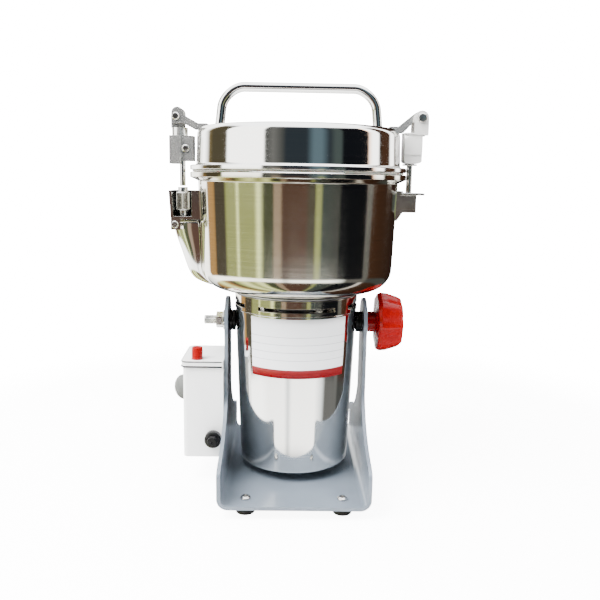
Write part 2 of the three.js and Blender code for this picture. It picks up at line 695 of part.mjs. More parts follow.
function armatureCore() {
  const bore = shaft.radius + seat;
  const coilRadius = armatureRadius * armature.coilShare;
  const [bottom, top] = [alongMotor(motorShares.armatureFromShare), alongMotor(motorShares.armatureToShare)];
  const coilBottom = alongMotor(motorShares.armatureCoilFromShare);
  const coilTop = alongMotor(motorShares.armatureCoilToShare);
  const core = turned([
    [bore, coilBottom], [coilRadius, coilBottom], [coilRadius, bottom], [armatureRadius, bottom],
    [armatureRadius, top], [coilRadius, top], [coilRadius, coilTop], [bore, coilTop],
  ], midSteps);
  return piece('armature', core, finish.copper);
}

function commutatorDrum() {
  const drum = tube(shaft.radius + seat, commutator.radius, alongMotor(motorShares.commutatorFromShare),
    alongMotor(motorShares.commutatorToShare), midSteps);
  return piece('commutator', drum, finish.copper);
}

function coolingFan() {
  const { hubRadius, sheet, vane, count } = fan;
  const radius = canInside - fan.wallGap;
  const bore = shaft.radius + seat;
  const [bottom, top] = [alongMotor(motorShares.fanFromShare), alongMotor(motorShares.fanToShare)];
  const wheel = turned([
    [bore, bottom], [radius, bottom], [radius, bottom + sheet], [hubRadius, bottom + sheet],
    [hubRadius, top], [bore, top],
  ], midSteps);
  const vanes = around(count, (angle) => turn(block(hubRadius - sheet, radius - sheet, -vane / 2, vane / 2,
    bottom + sheet / 2, top), angle));
  return piece('cooling_fan', joined(wheel, ...vanes), finish.black);
}

// A bar of two arms with raised ends, tapering to its tips
function bladeBar(length) {
  const { sheet, width, tip, bend, lift } = blade;
  const half = length / 2;
  const flat = half - bend;
  const side = polygon([
    [-half, lift], [-half, lift + sheet], [-flat, sheet], [flat, sheet], [half, lift + sheet], [half, lift],
    [flat, 0], [-flat, 0],
  ]);
  const plan = new THREE.ExtrudeGeometry(polygon([
    [-half, -tip / 2], [0, -width / 2], [half, -tip / 2], [half, tip / 2], [0, width / 2], [-half, tip / 2],
  ]), { depth: lift + 2 * sheet + overrun, bevelEnabled: false });
  const body = acrossY(side, -width / 2, width / 2).intersect(solidOf(plan.translate(0, 0, -overrun)));
  return cut(body, bar('z', bladeHole, -overrun, lift));
}

function blades() {
  const { spacer, nutHeight, nutRadius } = bladeStack;
  const longest = 2 * (bowl.radius - blade.wallGap);
  const lower = piece('blade_lower', bladeBar(longest), finish.steel);
  lower.position.z = bladeBottom;
  lower.rotation.z = bladeAngle;
  const upper = piece('blade_upper', bladeBar(longest - blade.upperShorter), finish.steel);
  upper.position.z = bladeBottom + blade.sheet + spacer + seat;
  upper.rotation.z = bladeAngle + Math.PI / 2;
  const sleeveBottom = bladeBottom + blade.sheet + seat / 2;
  const sleeve = tube(bladeHole, nutRadius, sleeveBottom, sleeveBottom + spacer, midSteps);
  const hex = cut(
    bar('z', nutRadius, bladeTop, bladeTop + nutHeight, 0, 0, 0, hexSides),
    bar('z', bladeHole, bladeTop - overrun, bladeTop + nutHeight + overrun),
  );
  return [lower, upper, piece('blade_spacer', sleeve, finish.steel), piece('blade_nut', hex, finish.steel)];
}

// Bowl

// The outside of the bowl below its rim, grown by a margin and filled
function bowlEnvelope(margin) {
  const { radius, corner, neck } = bowl;
  const top = rimTop - neck;
  return turned([
    [0, bowlBottom - margin],
    ...arc(bowlFoot - corner, bowlBottom + corner, corner + margin, -Math.PI / 2, 0),
    [radius + margin, top], [0, top],
  ]);
}

function grindingBowl() {
  const { radius, floor, wall, corner, neck, rim, hole } = bowl;
  const shell = turned([
    [hole, bowlBottom], ...arc(bowlFoot - corner, bowlBottom + corner, corner, -Math.PI / 2, 0),
    [radius, rimTop - neck], [rimRadius, rimTop - rim], [rimRadius, rimTop], [radius - wall, rimTop],
    ...arc(bowlFoot - corner, bowlBottom + corner, corner - floor, 0, -Math.PI / 2),
    [hole, bowlBottom + floor],
  ]);
  return piece('bowl', shell, finish.steel);
}

function shaftSeal() {
  const bore = shaft.radius + seat;
  const top = bowlBottom + seal.rise;
  const outer = bowl.hole - seat;
  const ring = turned([
    [bore, sealBottom], [outer, sealBottom], [outer, bowlBottom + bowl.floor], [outer - seal.lip, top],
    [bore, top],
  ], midSteps);
  return piece('shaft_seal', ring, finish.rubber);
}

// Lid

function lidEnvelope(margin) {
  const { corner } = lid;
  return turned([
    [0, lidRimTop], [lidRadius + margin, lidRimTop],
    ...arc(lidTopRadius - corner, lidTop - corner, corner + margin, 0, Math.PI / 2), [0, lidTop + margin],
  ]);
}

function lidShell() {
  const { corner, sheet, crown } = lid;
  const inner = lidRadius - sheet;
  const shell = turned([
    [0, lidTop - sheet], ...arc(lidTopRadius - corner, lidTop - corner, corner - sheet, Math.PI / 2, 0),
    [inner, lidRimTop], [inner, lidRimBottom], [rimRadius, lidRimBottom], [rimRadius, lidRimTop],
    [lidRadius, lidRimTop + crown], ...arc(lidTopRadius - corner, lidTop - corner, corner, 0, Math.PI / 2),
    [0, lidTop],
  ]);
  return piece('lid', shell, finish.mirror);
}

function lidGasket() {
  const [inner, outer] = [bowl.radius - gasket.inside, rimRadius - gasket.inset];
  const ring = tube(inner, outer, rimTop + seat, lidRimBottom - seat);
  return piece('lid_gasket', ring, finish.seal);
}

function lidHandle() {
  const { lean, rise, barRadius, bend, padRadius, pad } = handle;
  const footX = lidRadius - handle.inset;
  const topX = footX - lean;
  const footZ = lidTop + seat;
  const barZ = lidTop + rise - barRadius;
  const route = new THREE.CurvePath();
  const at = (x, z) => new THREE.Vector3(x, 0, z);
  route.add(new THREE.LineCurve3(at(-footX, footZ), at(-topX, barZ - bend)));
  route.add(new THREE.QuadraticBezierCurve3(at(-topX, barZ - bend), at(-topX, barZ), at(-topX + bend, barZ)));
  route.add(new THREE.LineCurve3(at(-topX + bend, barZ), at(topX - bend, barZ)));
  route.add(new THREE.QuadraticBezierCurve3(at(topX - bend, barZ), at(topX, barZ), at(topX, barZ - bend)));
  route.add(new THREE.LineCurve3(at(topX, barZ - bend), at(footX, footZ)));
  const section = new THREE.Shape().absarc(0, 0, barRadius, 0, 2 * Math.PI);
  const rod = solidOf(new THREE.ExtrudeGeometry(section, {
    steps: wideSteps / 2, extrudePath: route, curveSegments: arcSteps, bevelEnabled: false,
  }));
  const below = block(-2 * footX, 2 * footX, -footX, footX, 0, footZ);
  const pads = [-1, 1].map((side) => bar('z', padRadius, footZ, footZ + pad, side * footX));
  return piece('lid_handle', cut(joined(rod, ...pads), below), finish.mirror);
}

// Hinge on the right

function hingeBracketBlock() {
  const b = hingeBracket;
  const [inner, legOuter] = [rimRadius - b.in, rimRadius + b.legOut];
  const [legTop, legBottom] = [rimTop - b.legTop, rimTop - b.legBottom];
  const [blockTop, blockBottom] = [rimTop - b.blockTop, rimTop - b.blockBottom];
  const leg = acrossY(polygon([
    [inner, legBottom], [rimRadius + b.legFoot, legBottom], [legOuter, blockBottom], [legOuter, legTop],
    [inner, legTop],
  ]), -b.half, b.half);
  const body = block(legOuter - overrun, rimRadius + b.blockOut, -b.half, b.half, blockBottom, blockTop);
  const plate = block(legOuter - overrun, rimRadius + b.plateOut, -b.plateHalf, b.plateHalf, blockTop - seat,
    blockTop + b.plate);
  const bore = bar('z', hingeRodBar.radius + running, hingeRodBottom - seat, legTop + overrun, hingeRodX);
  return piece('hinge_bracket', cut(joined(leg, body, plate), bowlEnvelope(seat), bore), finish.steel);
}

function hingeRod() {
  const { radius, collarRadius: wide, collar: thick } = hingeRodBar;
  const rod = joined(
    bar('z', radius, hingeRodBottom, hingeRodTop, hingeRodX),
    bar('z', wide, postBottom - seat - thick, postBottom - seat, hingeRodX),
  );
  return piece('hinge_rod', rod, finish.steel);
}

// An eared head: a plate whose top is rounded
function ear(x0, x1, bottom, top, y0, y1) {
  const shape = new THREE.Shape();
  const round = (x1 - x0) / 2;
  shape.moveTo(x0, bottom);
  shape.lineTo(x1, bottom);
  shape.lineTo(x1, top - round);
  shape.absarc((x0 + x1) / 2, top - round, round, 0, Math.PI, false);
  return acrossY(shape, y0, y1);
}

function hingePost() {
  const { half, bandDepth, bandHeight } = post;
  const [inner, outer] = [rimRadius - post.in, rimRadius + post.out];
  const body = block(inner, outer, -half, half, postBottom, postTop);
  const earTop = hingeZ + hinge.eyeRadius;
  const ears = bothSides(hinge.armHalf + seat, half, (y0, y1) =>
    ear(rimRadius + post.earFrom, rimRadius + post.earTo, postTop - overrun, earTop, y0, y1));
  const clearHalf = hinge.armHalf + seat;
  const clear = bar('y', hinge.eyeRadius + seat, -clearHalf, clearHalf, hingeX, 0, hingeZ, midSteps);
  const rodBore = bar('z', hingeRodBar.radius + running, postBottom - overrun, hingeRodTop + seat, hingeRodX);
  const grooves = [postBottom + post.bandLow, postTop - post.bandHigh].flatMap((z) =>
    bothSides(half - bandDepth, half + overrun, (y0, y1) =>
      block(inner - overrun, outer + overrun, y0, y1, z, z + bandHeight)));
  const hole = pinHole(hinge.pinRadius, half, hingeX, hingeZ);
  return piece('hinge_post', cut(joined(body, ...ears), clear, hole, rodBore, ...grooves), finish.steel);
}

function hingePin() {
  const pin = headedPin(hinge.pinRadius, post.half, hinge.pinProud, hingeX, hingeZ);
  return piece('hinge_pin', pin, finish.steel);
}

function lidHingeArm() {
  const { eyeRadius, armHalf, arm, pinRadius } = hinge;
  const strap = acrossY(polygon([
    [strapFoot, lidTop - overrun], [strapFoot, lidTop + arm], [lidRadius - overrun, lidTop + arm],
    [hingeX - eyeRadius, hingeZ + arm], [hingeX, hingeZ + arm], [hingeX, hingeZ - arm],
    [hingeX - eyeRadius, hingeZ - arm], [lidRadius + overrun, lidTop - overrun],
  ]), -armHalf, armHalf);
  const eye = bar('y', eyeRadius, -armHalf, armHalf, hingeX, 0, hingeZ, midSteps);
  const hole = pinHole(pinRadius, armHalf, hingeX, hingeZ);
  return piece('lid_hinge_arm', cut(joined(strap, eye), lidEnvelope(seat), hole), finish.steel);
}

// Clamp on the left

function latchBracket() {
  const { half, sheet } = latchEar;
  const [inner, outer] = [rimRadius + latchEar.from, rimRadius + latchEar.to];
  const [top, bottom] = [latchZ + latchEar.overPin, latchZ - latchEar.underPin];
  const strap = acrossY(polygon([
    [-strapFoot, lidTop - overrun], [-strapFoot, lidTop + sheet], [-lidRadius + overrun, lidTop + sheet],
    [-inner + overrun, latchZ + sheet / 2], [-inner, latchZ + sheet], [-inner, latchZ - sheet - overrun],
    [-lidRadius - overrun, lidTop - overrun],
  ]), -half, half);
  const ears = bothSides(latch.eyeHalf + seat, half, (y0, y1) =>
    ear(-outer, -inner + overrun, bottom, top, y0, y1));
  const mouth = block(-outer - overrun, -inner + 2 * overrun, -latch.eyeHalf - seat, latch.eyeHalf + seat,
    bottom - overrun, top);
  const body = cut(joined(cut(strap, mouth), ...ears), lidEnvelope(seat));
  return piece('latch_bracket', cut(body, pinHole(latch.pinRadius, half, -latchX, latchZ)), finish.steel);
}

function latchPin() {
  const pin = headedPin(latch.pinRadius, latchEar.half, latch.pinProud, -latchX, latchZ);
  return piece('latch_pin', pin, finish.steel);
}

function latchBlock() {
  const { half, stepHalf, neckHalf } = link;
  const { eyeRadius, eyeHalf } = latch;
  const step = rimRadius + link.step;
  const collarX = rimRadius + link.collarOut;
  const collarTop = latchZ - link.collarUnderPin;
  const tall = block(-rimRadius - link.out, -step, -half, half, rimTop + link.rise, clampTop);
  const low = block(-step - overrun, -rimRadius + link.in, -stepHalf, stepHalf, rimTop + link.stepRise,
    clampTop);
  const barrel = bar('z', link.collarRadius, clampTop - seat, collarTop, -collarX, 0, 0, midSteps);
  const shoulder = block(-collarX - neckHalf, -collarX + neckHalf, -eyeHalf, eyeHalf, collarTop - seat,
    latchZ - link.neckUnderPin);
  const neck = block(-latchX - eyeRadius, -latchX + eyeRadius, -eyeHalf, eyeHalf, collarTop - seat, latchZ);
  const eye = bar('y', eyeRadius, -eyeHalf, eyeHalf, -latchX, 0, latchZ, midSteps);
  const rodBore = bar('z', clampRod.radius + running, rimTop + link.rise - overrun,
    clampTop - clampRod.sunk + seat, -clampRodX);
  const hole = pinHole(latch.pinRadius, eyeHalf, -latchX, latchZ);
  const body = joined(tall, low, barrel, shoulder, neck, eye);
  return piece('latch_block', cut(body, hole, rodBore), finish.steel);
}

function latchRod() {
  const rod = bar('z', clampRod.radius, nutNeckTop + clampRod.nutGap, clampTop - clampRod.sunk, -clampRodX);
  return piece('latch_rod', rod, finish.steel);
}

// A turned outline whose round parts rise and fall in even lobes
function lobed(profile, lobes, depthShare, smallest, steps) {
  const outline = profile.map(([r, z]) => new THREE.Vector2(r, z));
  outline.push(outline[0].clone());
  const shape = new THREE.LatheGeometry(outline, steps);
  const place = shape.attributes.position;
  for (let i = 0; i < place.count; i += 1) {
    const x = place.getX(i);
    const z = place.getZ(i);
    const radius = Math.hypot(x, z);
    const grow = radius > smallest ? 1 + depthShare * Math.cos(lobes * Math.atan2(z, x)) : 1;
    place.setX(i, x * grow);
    place.setZ(i, z * grow);
  }
  return solidOf(shape.rotateX(Math.PI / 2));
}

function latchNut() {
  const { radius, neckRadius, footRadius, knurls, knurlDepthShare } = nut;
  const base = rimTop - cage.floorTop + seat;
  const [bottom, top] = [rimTop - nut.bottom, rimTop - nut.top];
  const body = lobed([
    [0, base], [footRadius, base], [footRadius, bottom], [radius, bottom], [radius, top], [neckRadius, top],
    [neckRadius, nutNeckTop], [0, nutNeckTop],
  ], knurls, knurlDepthShare, neckRadius + seat, 4 * knurls);
  const mesh = piece('latch_nut', body, finish.steel);
  mesh.position.x = -clampRodX;
  return mesh;
}

const cageFloor = rimTop - cage.floorBottom;
const cageBack = rimRadius - cage.backIn;

function latchCage() {
  const { sheet, half, earSheet } = cage;
  const [wallTop, floorTop] = [rimTop - cage.wallTop, rimTop - cage.floorTop];
  const [outer, footOuter] = [rimRadius + cage.out, rimRadius + cage.footOut];
  const inner = rimRadius - cage.in;
  const channel = acrossY(polygon([
    [-outer, wallTop], [-footOuter, cageFloor], [-cageBack, cageFloor], [-cageBack, wallTop],
    [-inner, wallTop], [-inner, floorTop], [-footOuter + sheet, floorTop], [-outer + sheet, wallTop],
  ]), -half, half);
  const ears = bothSides(half - earSheet, half, (y0, y1) =>
    block(-footOuter, -rimRadius - cage.earFrom, y0, y1, rimTop - cage.earBottom, cageFloor + seat));
  const hole = pinHole(lever.pinRadius, half, -leverPinX, leverPinZ);
  return piece('latch_cage', cut(joined(channel, ...ears), bowlEnvelope(seat), hole), finish.steel);
}

function leverPin() {
  const pin = headedPin(lever.pinRadius, cage.half, lever.pinProud, -leverPinX, leverPinZ);
  return piece('lever_pin', pin, finish.steel);
}

function latchLever() {
  const { half, sheet, clear, pinRadius } = lever;
  const top = rimTop - lever.top;
  const [edgeX, edgeZ] = [rimRadius + lever.edgeOut, rimTop - lever.edgeDrop];
  const [tipX, tipZ] = [bowlFoot - lever.tipInset, bowlBottom - lever.tipBelow];
  const edge = leverEdgeShares.map(([inShare, downShare]) => [
    -edgeX + (edgeX - tipX) * inShare, edgeZ - (edgeZ - tipZ) * downShare,
  ]);
  const [lipX, lipZ] = [-tipX + lever.lipIn, tipZ + lever.lipUp];
  const crown = -edgeX + clear;
  const outline = polygon([
    [crown, top], ...edge, [lipX, lipZ], [-cageBack, bowlBottom + bowl.floor], [-cageBack, top],
  ]);
  const hollow = polygon([
    ...edge.map(([x, z]) => [x + sheet, z]), [lipX + overrun, lipZ + sheet],
    [lipX + overrun, top + overrun], [crown + sheet, top + overrun],
  ]);
  const body = cut(acrossY(outline, -half, half), acrossY(hollow, -half + sheet, half - sheet));
  const hole = pinHole(pinRadius, half, -leverPinX, leverPinZ);
  return piece('latch_lever', cut(body, bowlEnvelope(clear), hole), finish.mirror);
}

// Pivots and the tilt lock knob

// The bolts' heads bear on the can's inner wall, which curves away beside them
const pivotWall = Math.sqrt((canRadiusAt(pivotHeight) - can.wall) ** 2 - pivot.headRadius ** 2);
const boltHeadOuter = pivotWall - seat;
const boltHeadInner = boltHeadOuter - pivot.headHeight;
const boltEnd = armOuter + pivot.boltOut;

function pivotParts() {
  const { boltRadius, headRadius, spacerRadius } = pivot;
  const bolt = (side) => joined(
    bar('x', headRadius, side * boltHeadInner, side * boltHeadOuter),
    bar('x', boltRadius, side * boltHeadInner, side * boltEnd),
  );
  const spacer = (side) => cut(
    bar('x', spacerRadius, side * can.radius, side * (armInner - seat)),
    bar('x', boltRadius + running, side * boltHeadInner, side * armOuter),
  );
  const face = -armOuter - seat;
  const { washerRadius, washer, radius, height } = leftNut;
  const hex = new THREE.CylinderGeometry(radius, radius, height, hexSides).rotateZ(Math.PI / 2);
  const nutBody = cut(joined(
    bar('x', washerRadius, face, face - washer),
    solidOf(hex.translate(face - washer - height / 2 + seat, 0, 0)),
  ), bar('x', boltRadius + running, face + overrun, -boltEnd));
  return [
    piece('pivot_bolt', bolt(-1), finish.steel),
    piece('pivot_nut', nutBody, finish.steel),
    piece('tilt_stud', bolt(1), finish.steel),
    piece('pivot_spacer_left', spacer(-1), finish.black),
    piece('pivot_spacer_right', spacer(1), finish.black),
  ];
}

function tiltKnob() {
  const { hubRadius, rimRadius: wide, bevel, bevelDepth, lobes, lobeDepthShare } = knob;
  const bore = pivot.boltRadius + running;
  const hubEnd = armOuter + knob.hub;
  const outer = armOuter + knob.clear + knob.length;
  const face = wide - knob.faceInset;
  const body = lobed([
    [bore, armOuter + knob.clear], [hubRadius, armOuter + knob.clear], [hubRadius, hubEnd],
    [wide - knob.backInset, armOuter + knob.back], [wide, armOuter + knob.rim],
    [face + bevel, outer - bevelDepth], [face, outer], [0, outer], [0, boltEnd + seat],
    [bore, boltEnd + seat],
  ], lobes, lobeDepthShare, hubRadius + seat, 6 * lobes);
  const mesh = piece('tilt_knob', body, finish.red);
  mesh.rotation.y = Math.PI / 2;
  return mesh;
}

const grinder = new THREE.Group();
grinder.name = 'spice_grinder';
grinder.add(
  standFrame(), ...feetAndScrews(),
  controlBox(), controlBoxLid(), timerSwitch(), timerKnob(), overloadBreaker(), resetButton(),
  fuseHolder(), fuseCap(), cordGland(),
  motorCan(), ventCollar(), upperEndFrame(), lowerEndFrame(), ...bearings(), statorCore(), ...brushParts(),
  motorShaft(), armatureCore(), commutatorDrum(), coolingFan(), ...blades(),
  grindingBowl(), shaftSeal(),
  lidShell(), lidGasket(), lidHandle(), lidHingeArm(), latchBracket(), latchPin(),
  hingeBracketBlock(), hingeRod(), hingePost(), hingePin(),
  latchBlock(), latchRod(), latchNut(), latchCage(), leverPin(), latchLever(),
  group(pivotHeight, ...pivotParts(), tiltKnob()),
);

export default grinder;
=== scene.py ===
"""Looks for the tilting spice grinder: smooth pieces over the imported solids, finishes, stage and camera."""
import functools
import json
import math

import bmesh
import bpy
from bpy.props import FloatProperty, FloatVectorProperty, IntProperty, PointerProperty
from bpy.types import Operator, Panel, PropertyGroup
from mathutils import Matrix, Vector


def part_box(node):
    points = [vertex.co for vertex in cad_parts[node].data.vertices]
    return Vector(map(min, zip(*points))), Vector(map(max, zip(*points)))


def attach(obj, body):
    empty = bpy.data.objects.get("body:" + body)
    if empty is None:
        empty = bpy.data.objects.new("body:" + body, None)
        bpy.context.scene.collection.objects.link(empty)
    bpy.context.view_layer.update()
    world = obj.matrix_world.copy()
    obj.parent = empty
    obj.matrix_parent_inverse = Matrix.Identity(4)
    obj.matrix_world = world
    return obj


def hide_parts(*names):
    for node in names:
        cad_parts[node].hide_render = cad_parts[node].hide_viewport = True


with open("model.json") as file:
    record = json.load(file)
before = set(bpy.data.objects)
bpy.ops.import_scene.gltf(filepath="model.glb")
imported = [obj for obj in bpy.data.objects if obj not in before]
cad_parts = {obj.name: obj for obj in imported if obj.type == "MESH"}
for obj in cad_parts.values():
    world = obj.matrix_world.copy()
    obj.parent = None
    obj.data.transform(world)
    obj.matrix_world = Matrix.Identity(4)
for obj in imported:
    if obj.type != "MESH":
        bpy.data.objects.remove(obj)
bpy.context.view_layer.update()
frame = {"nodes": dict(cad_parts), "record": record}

bl_info = {
    "name": "Spice Grinder",
    "version": (1, 0, 0),
    "blender": (4, 5, 0),
    "location": "3D View > Sidebar > Grinder",
    "description": "Builds the looks of a tilting electric spice grinder on its packed frame",
    "category": "Object",
}

MM = 0.001
PHOTO_SIDE = 600

# How finely round pieces are divided
WIDE_STEPS = 160
MID_STEPS = 64
SMALL_STEPS = 32
CORNER_STEPS = 6

# From which angle on, in degrees, an edge is crisp
SHARP_ANGLE = 32

# Directions a turned piece can point, as turns of the +Z axis
POINTING = {
    "+Z": Matrix.Identity(4),
    "+X": Matrix.Rotation(math.radians(90), 4, "Y"),
    "-X": Matrix.Rotation(math.radians(-90), 4, "Y"),
    "+Y": Matrix.Rotation(math.radians(-90), 4, "X"),
    "-Y": Matrix.Rotation(math.radians(90), 4, "X"),
}


@functools.cache
def corners_of(node):
    """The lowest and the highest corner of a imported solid."""
    return tuple(tuple(corner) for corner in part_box(node))


def low(node):
    return Vector(corners_of(node)[0])


def high(node):
    return Vector(corners_of(node)[1])


def middle(node):
    """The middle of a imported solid's box."""
    return (low(node) + high(node)) / 2


def extent(node):
    """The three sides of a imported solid's box."""
    return high(node) - low(node)


def radius_of(node):
    """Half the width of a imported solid, in millimetres."""
    return extent(node).x / 2 / MM


def heights_of(node):
    """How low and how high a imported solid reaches, in millimetres."""
    return low(node).z / MM, high(node).z / MM


def reach_of(node):
    """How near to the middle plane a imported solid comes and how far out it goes, in millimetres."""
    return sorted((abs(low(node).x) / MM, abs(high(node).x) / MM))


PIVOT_HEIGHT = middle("tilt_stud").z
CAN_BOTTOM = low("motor_can").z
BOWL_TOP = high("bowl").z
LID_TOP = high("lid").z

# Radii of the arms' round heads and of the can's foot
ARM_HEAD = 21 * MM
CAN_FOOT = 47.5 * MM

# The bowl's side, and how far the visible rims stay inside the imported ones, in millimetres
BOWL_FOOT, BOWL_FOOT_ROUND, BOWL_SHOULDER, BOWL_SHOULDER_HEIGHT = 81, 18, 84, 262
RIM_GAP = 0.01

# What the lengths and the colours that a user can change have in common
LENGTH = {"unit": "LENGTH", "precision": 4}
COLOUR = {"subtype": "COLOR", "size": 3, "min": 0, "max": 1}


class GrinderSizes(PropertyGroup):
    """Sizes of the looks that aren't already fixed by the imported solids."""
    sheet_edge: FloatProperty(name="Sheet edge", default=0.7 * MM, **LENGTH,
                              description="How far the stand's cut edges are rounded over")
    clamp_edge: FloatProperty(name="Clamp edge", default=0.45 * MM, **LENGTH,
                              description="How far the clamp and hinge pieces are rounded over")
    box_edge: FloatProperty(name="Box edge", default=0.5 * MM, **LENGTH,
                            description="How far the control box's folds are rounded over")
    thread_pitch: FloatProperty(name="Thread pitch", default=0.9 * MM, **LENGTH,
                                description="Distance between the ridges of the threaded rods")
    thread_depth: FloatProperty(name="Thread depth", default=0.32 * MM, **LENGTH,
                                description="How deep the thread is cut into the rods")
    label_bottom: FloatProperty(name="Label bottom", default=103.5 * MM, **LENGTH,
                                description="Height of the label's lower edge")
    label_top: FloatProperty(name="Label top", default=153.2 * MM, **LENGTH,
                             description="Height of the label's upper edge")
    label_band: FloatProperty(name="Label band", default=7 * MM, **LENGTH,
                              description="Height of the coloured band along the label's lower edge")
    label_arc: FloatProperty(name="Label arc", default=math.radians(96), subtype="ANGLE",
                             description="How far the label reaches round the can")
    label_turn: FloatProperty(name="Label turn", default=math.radians(3), subtype="ANGLE",
                              description="How far the label's middle is turned to the right")
    knob_lobes: IntProperty(name="Knob lobes", default=8, min=3, description="Lobes round the lock knob")
    nut_ridges: IntProperty(name="Nut ridges", default=28, min=8, description="Ridges round the knurled nut")
    floor_reach: FloatProperty(name="Floor reach", default=0.7, **LENGTH,
                               description="Radius of the pale floor")


class GrinderColours(PropertyGroup):
    """Colours of the finishes, as linear values."""
    stand: FloatVectorProperty(name="Stand paint", **COLOUR,
                               default=(0.15, 0.178, 0.215), description="Gloss paint of the bent sheet")
    control_box: FloatVectorProperty(name="Box paint", **COLOUR,
                                     default=(0.93, 0.93, 0.92), description="Paint of the control box")
    polished: FloatVectorProperty(name="Polished steel", **COLOUR,
                                  default=(0.90, 0.89, 0.86), description="Lid, handle, can and clamp")
    satin: FloatVectorProperty(name="Satin steel", **COLOUR,
                               default=(0.74, 0.71, 0.62), description="Bowl and blades")
    plated: FloatVectorProperty(name="Plated steel", **COLOUR,
                                default=(0.78, 0.77, 0.74), description="Nuts, pins and screws")
    red: FloatVectorProperty(name="Red plastic", **COLOUR,
                             default=(0.25, 0.0003, 0.001), description="Lock knob and reset button")
    grey: FloatVectorProperty(name="Grey plastic", **COLOUR,
                              default=(0.10, 0.103, 0.097), description="Timer knob")
    # Black also colours the painted shadow lines at the control box's cover.
    black: FloatVectorProperty(name="Black plastic", **COLOUR,
                               default=(0.003, 0.003, 0.003), description="Fuse cap, gland and spacers")
    label_red: FloatVectorProperty(name="Label band", **COLOUR,
                                   default=(0.18, 0.0015, 0.003), description="Band of the label")


def sizes():
    return bpy.context.scene.grinder_sizes


def colours():
    return bpy.context.scene.grinder_colours


# Finishes


class Nodes:
    """Short calls for making and joining the nodes of one tree."""

    def __init__(self, tree):
        self.tree = tree

    def node(self, kind, **settings):
        made = self.tree.nodes.new(kind)
        for key, value in settings.items():
            setattr(made, key, value)
        return made

    def link(self, output, socket):
        self.tree.links.new(output, socket)

    def ray(self, kind):
        """Whether the ray that is followed is of a kind."""
        return self.node("ShaderNodeLightPath").outputs[f"Is {kind} Ray"]

    def spread(self, value, to_low, to_high, from_low=0.3, from_high=0.7, **settings):
        """A value carried over from one range to another."""
        made = self.node("ShaderNodeMapRange", **settings)
        for socket, number in (("From Min", from_low), ("From Max", from_high), ("To Min", to_low),
                               ("To Max", to_high)):
            made.inputs[socket].default_value = number
        self.link(value, made.inputs["Value"])
        return made.outputs["Result"]

    def ramp(self, value, stops, sharp=False):
        """The colours met along a value. A stop is its place and its colour."""
        made = self.node("ShaderNodeValToRGB")
        band = made.color_ramp
        band.interpolation = "CONSTANT" if sharp else "LINEAR"
        while len(band.elements) < len(stops):
            band.elements.new(1)
        for element, (place, colour) in zip(band.elements, stops):
            element.position = place
            element.color = (*colour, 1)
        self.link(value, made.inputs["Fac"])
        return made.outputs["Color"]


class Finish(Nodes):
    """A material being made. The uniform values that it is given go to the shader's own sockets."""

    def __init__(self, name, **values):
        self.material = bpy.data.materials.new(name)
        self.material.use_nodes = True
        super().__init__(self.material.node_tree)
        self.shader = self.tree.nodes["Principled BSDF"]
        self.place = self.node("ShaderNodeTexCoord").outputs["Object"]
        for key, value in values.items():
            self.shader.inputs[key.replace("_", " ")].default_value = value

    def lead(self, output, socket):
        """Leads an output to one of the shader's sockets."""
        self.link(output, self.shader.inputs[socket])
        return self

    def noise(self, scale, stretch=(1, 1, 1), detail=3, roughness=0.55):
        mapping = self.node("ShaderNodeMapping")
        mapping.inputs["Scale"].default_value = stretch
        self.link(self.place, mapping.inputs["Vector"])
        made = self.node("ShaderNodeTexNoise")
        for socket, number in (("Scale", scale), ("Detail", detail), ("Roughness", roughness)):
            made.inputs[socket].default_value = number
        self.link(mapping.outputs["Vector"], made.inputs["Vector"])
        return made.outputs["Fac"]

    def tinted(self, value, colour, darker, lighter=1.0):
        """The base colour, wandering between a darker and a lighter shade of it."""
        shades = [(place, [min(1, part * share) for part in colour])
                  for place, share in ((0.3, darker), (0.7, lighter))]
        return self.lead(self.ramp(value, shades), "Base Color")

    def rough(self, value, smooth, dull):
        return self.lead(self.spread(value, smooth, dull), "Roughness")

    def bump(self, *heights):
        """Stacks bumps, each a height, its depth in metres and its strength."""
        normal = None
        for value, depth, strength in heights:
            made = self.node("ShaderNodeBump")
            made.inputs["Distance"].default_value = depth
            made.inputs["Strength"].default_value = strength
            self.link(value, made.inputs["Height"])
            if normal:
                self.link(normal, made.inputs["Normal"])
            normal = made.outputs["Normal"]
        return self.lead(normal, "Normal")


def polished_steel():
    look = Finish("polished_steel", Metallic=1.0)
    wander = look.noise(14, detail=2)
    hairlines = look.noise(9, stretch=(1, 1, 260), detail=4)
    look.tinted(wander, colours().polished, 0.93)
    look.rough(hairlines, 0.045, 0.11)
    return look.bump((look.noise(22, detail=1), 0.25 * MM, 0.06), (hairlines, 0.01 * MM, 0.25))


def satin_steel():
    look = Finish("satin_steel", Metallic=1.0, Anisotropic=0.9, Anisotropic_Rotation=0.25)
    tangent = look.node("ShaderNodeTangent", direction_type="RADIAL", axis="Z")
    look.lead(tangent.outputs["Tangent"], "Tangent")
    lines = look.noise(5, stretch=(1, 1, 420), detail=6, roughness=0.7)
    patches = look.noise(18, detail=3)
    look.tinted(lines, colours().satin, 0.80, 1.08)
    look.rough(patches, 0.06, 0.10)
    return look.bump((lines, 0.04 * MM, 0.35))


def plated_steel():
    look = Finish("plated_steel", Metallic=1.0)
    grain = look.noise(420, detail=4)
    stains = look.noise(60, detail=3)
    look.tinted(stains, colours().plated, 0.72)
    look.rough(grain, 0.14, 0.28)
    return look.bump((grain, 0.03 * MM, 0.15))


def stamped_steel(name, metallic):
    """Steel of the ears, the strap and the post: the less metallic, the paler whatever it mirrors."""
    look = Finish(name, Metallic=metallic)
    drag = look.noise(70, detail=3)
    pits = look.noise(500, detail=2)
    look.tinted(drag, colours().polished, 0.86)
    look.rough(drag, 0.13, 0.22)
    return look.bump((drag, 0.05 * MM, 0.06), (pits, 0.01 * MM, 0.04))


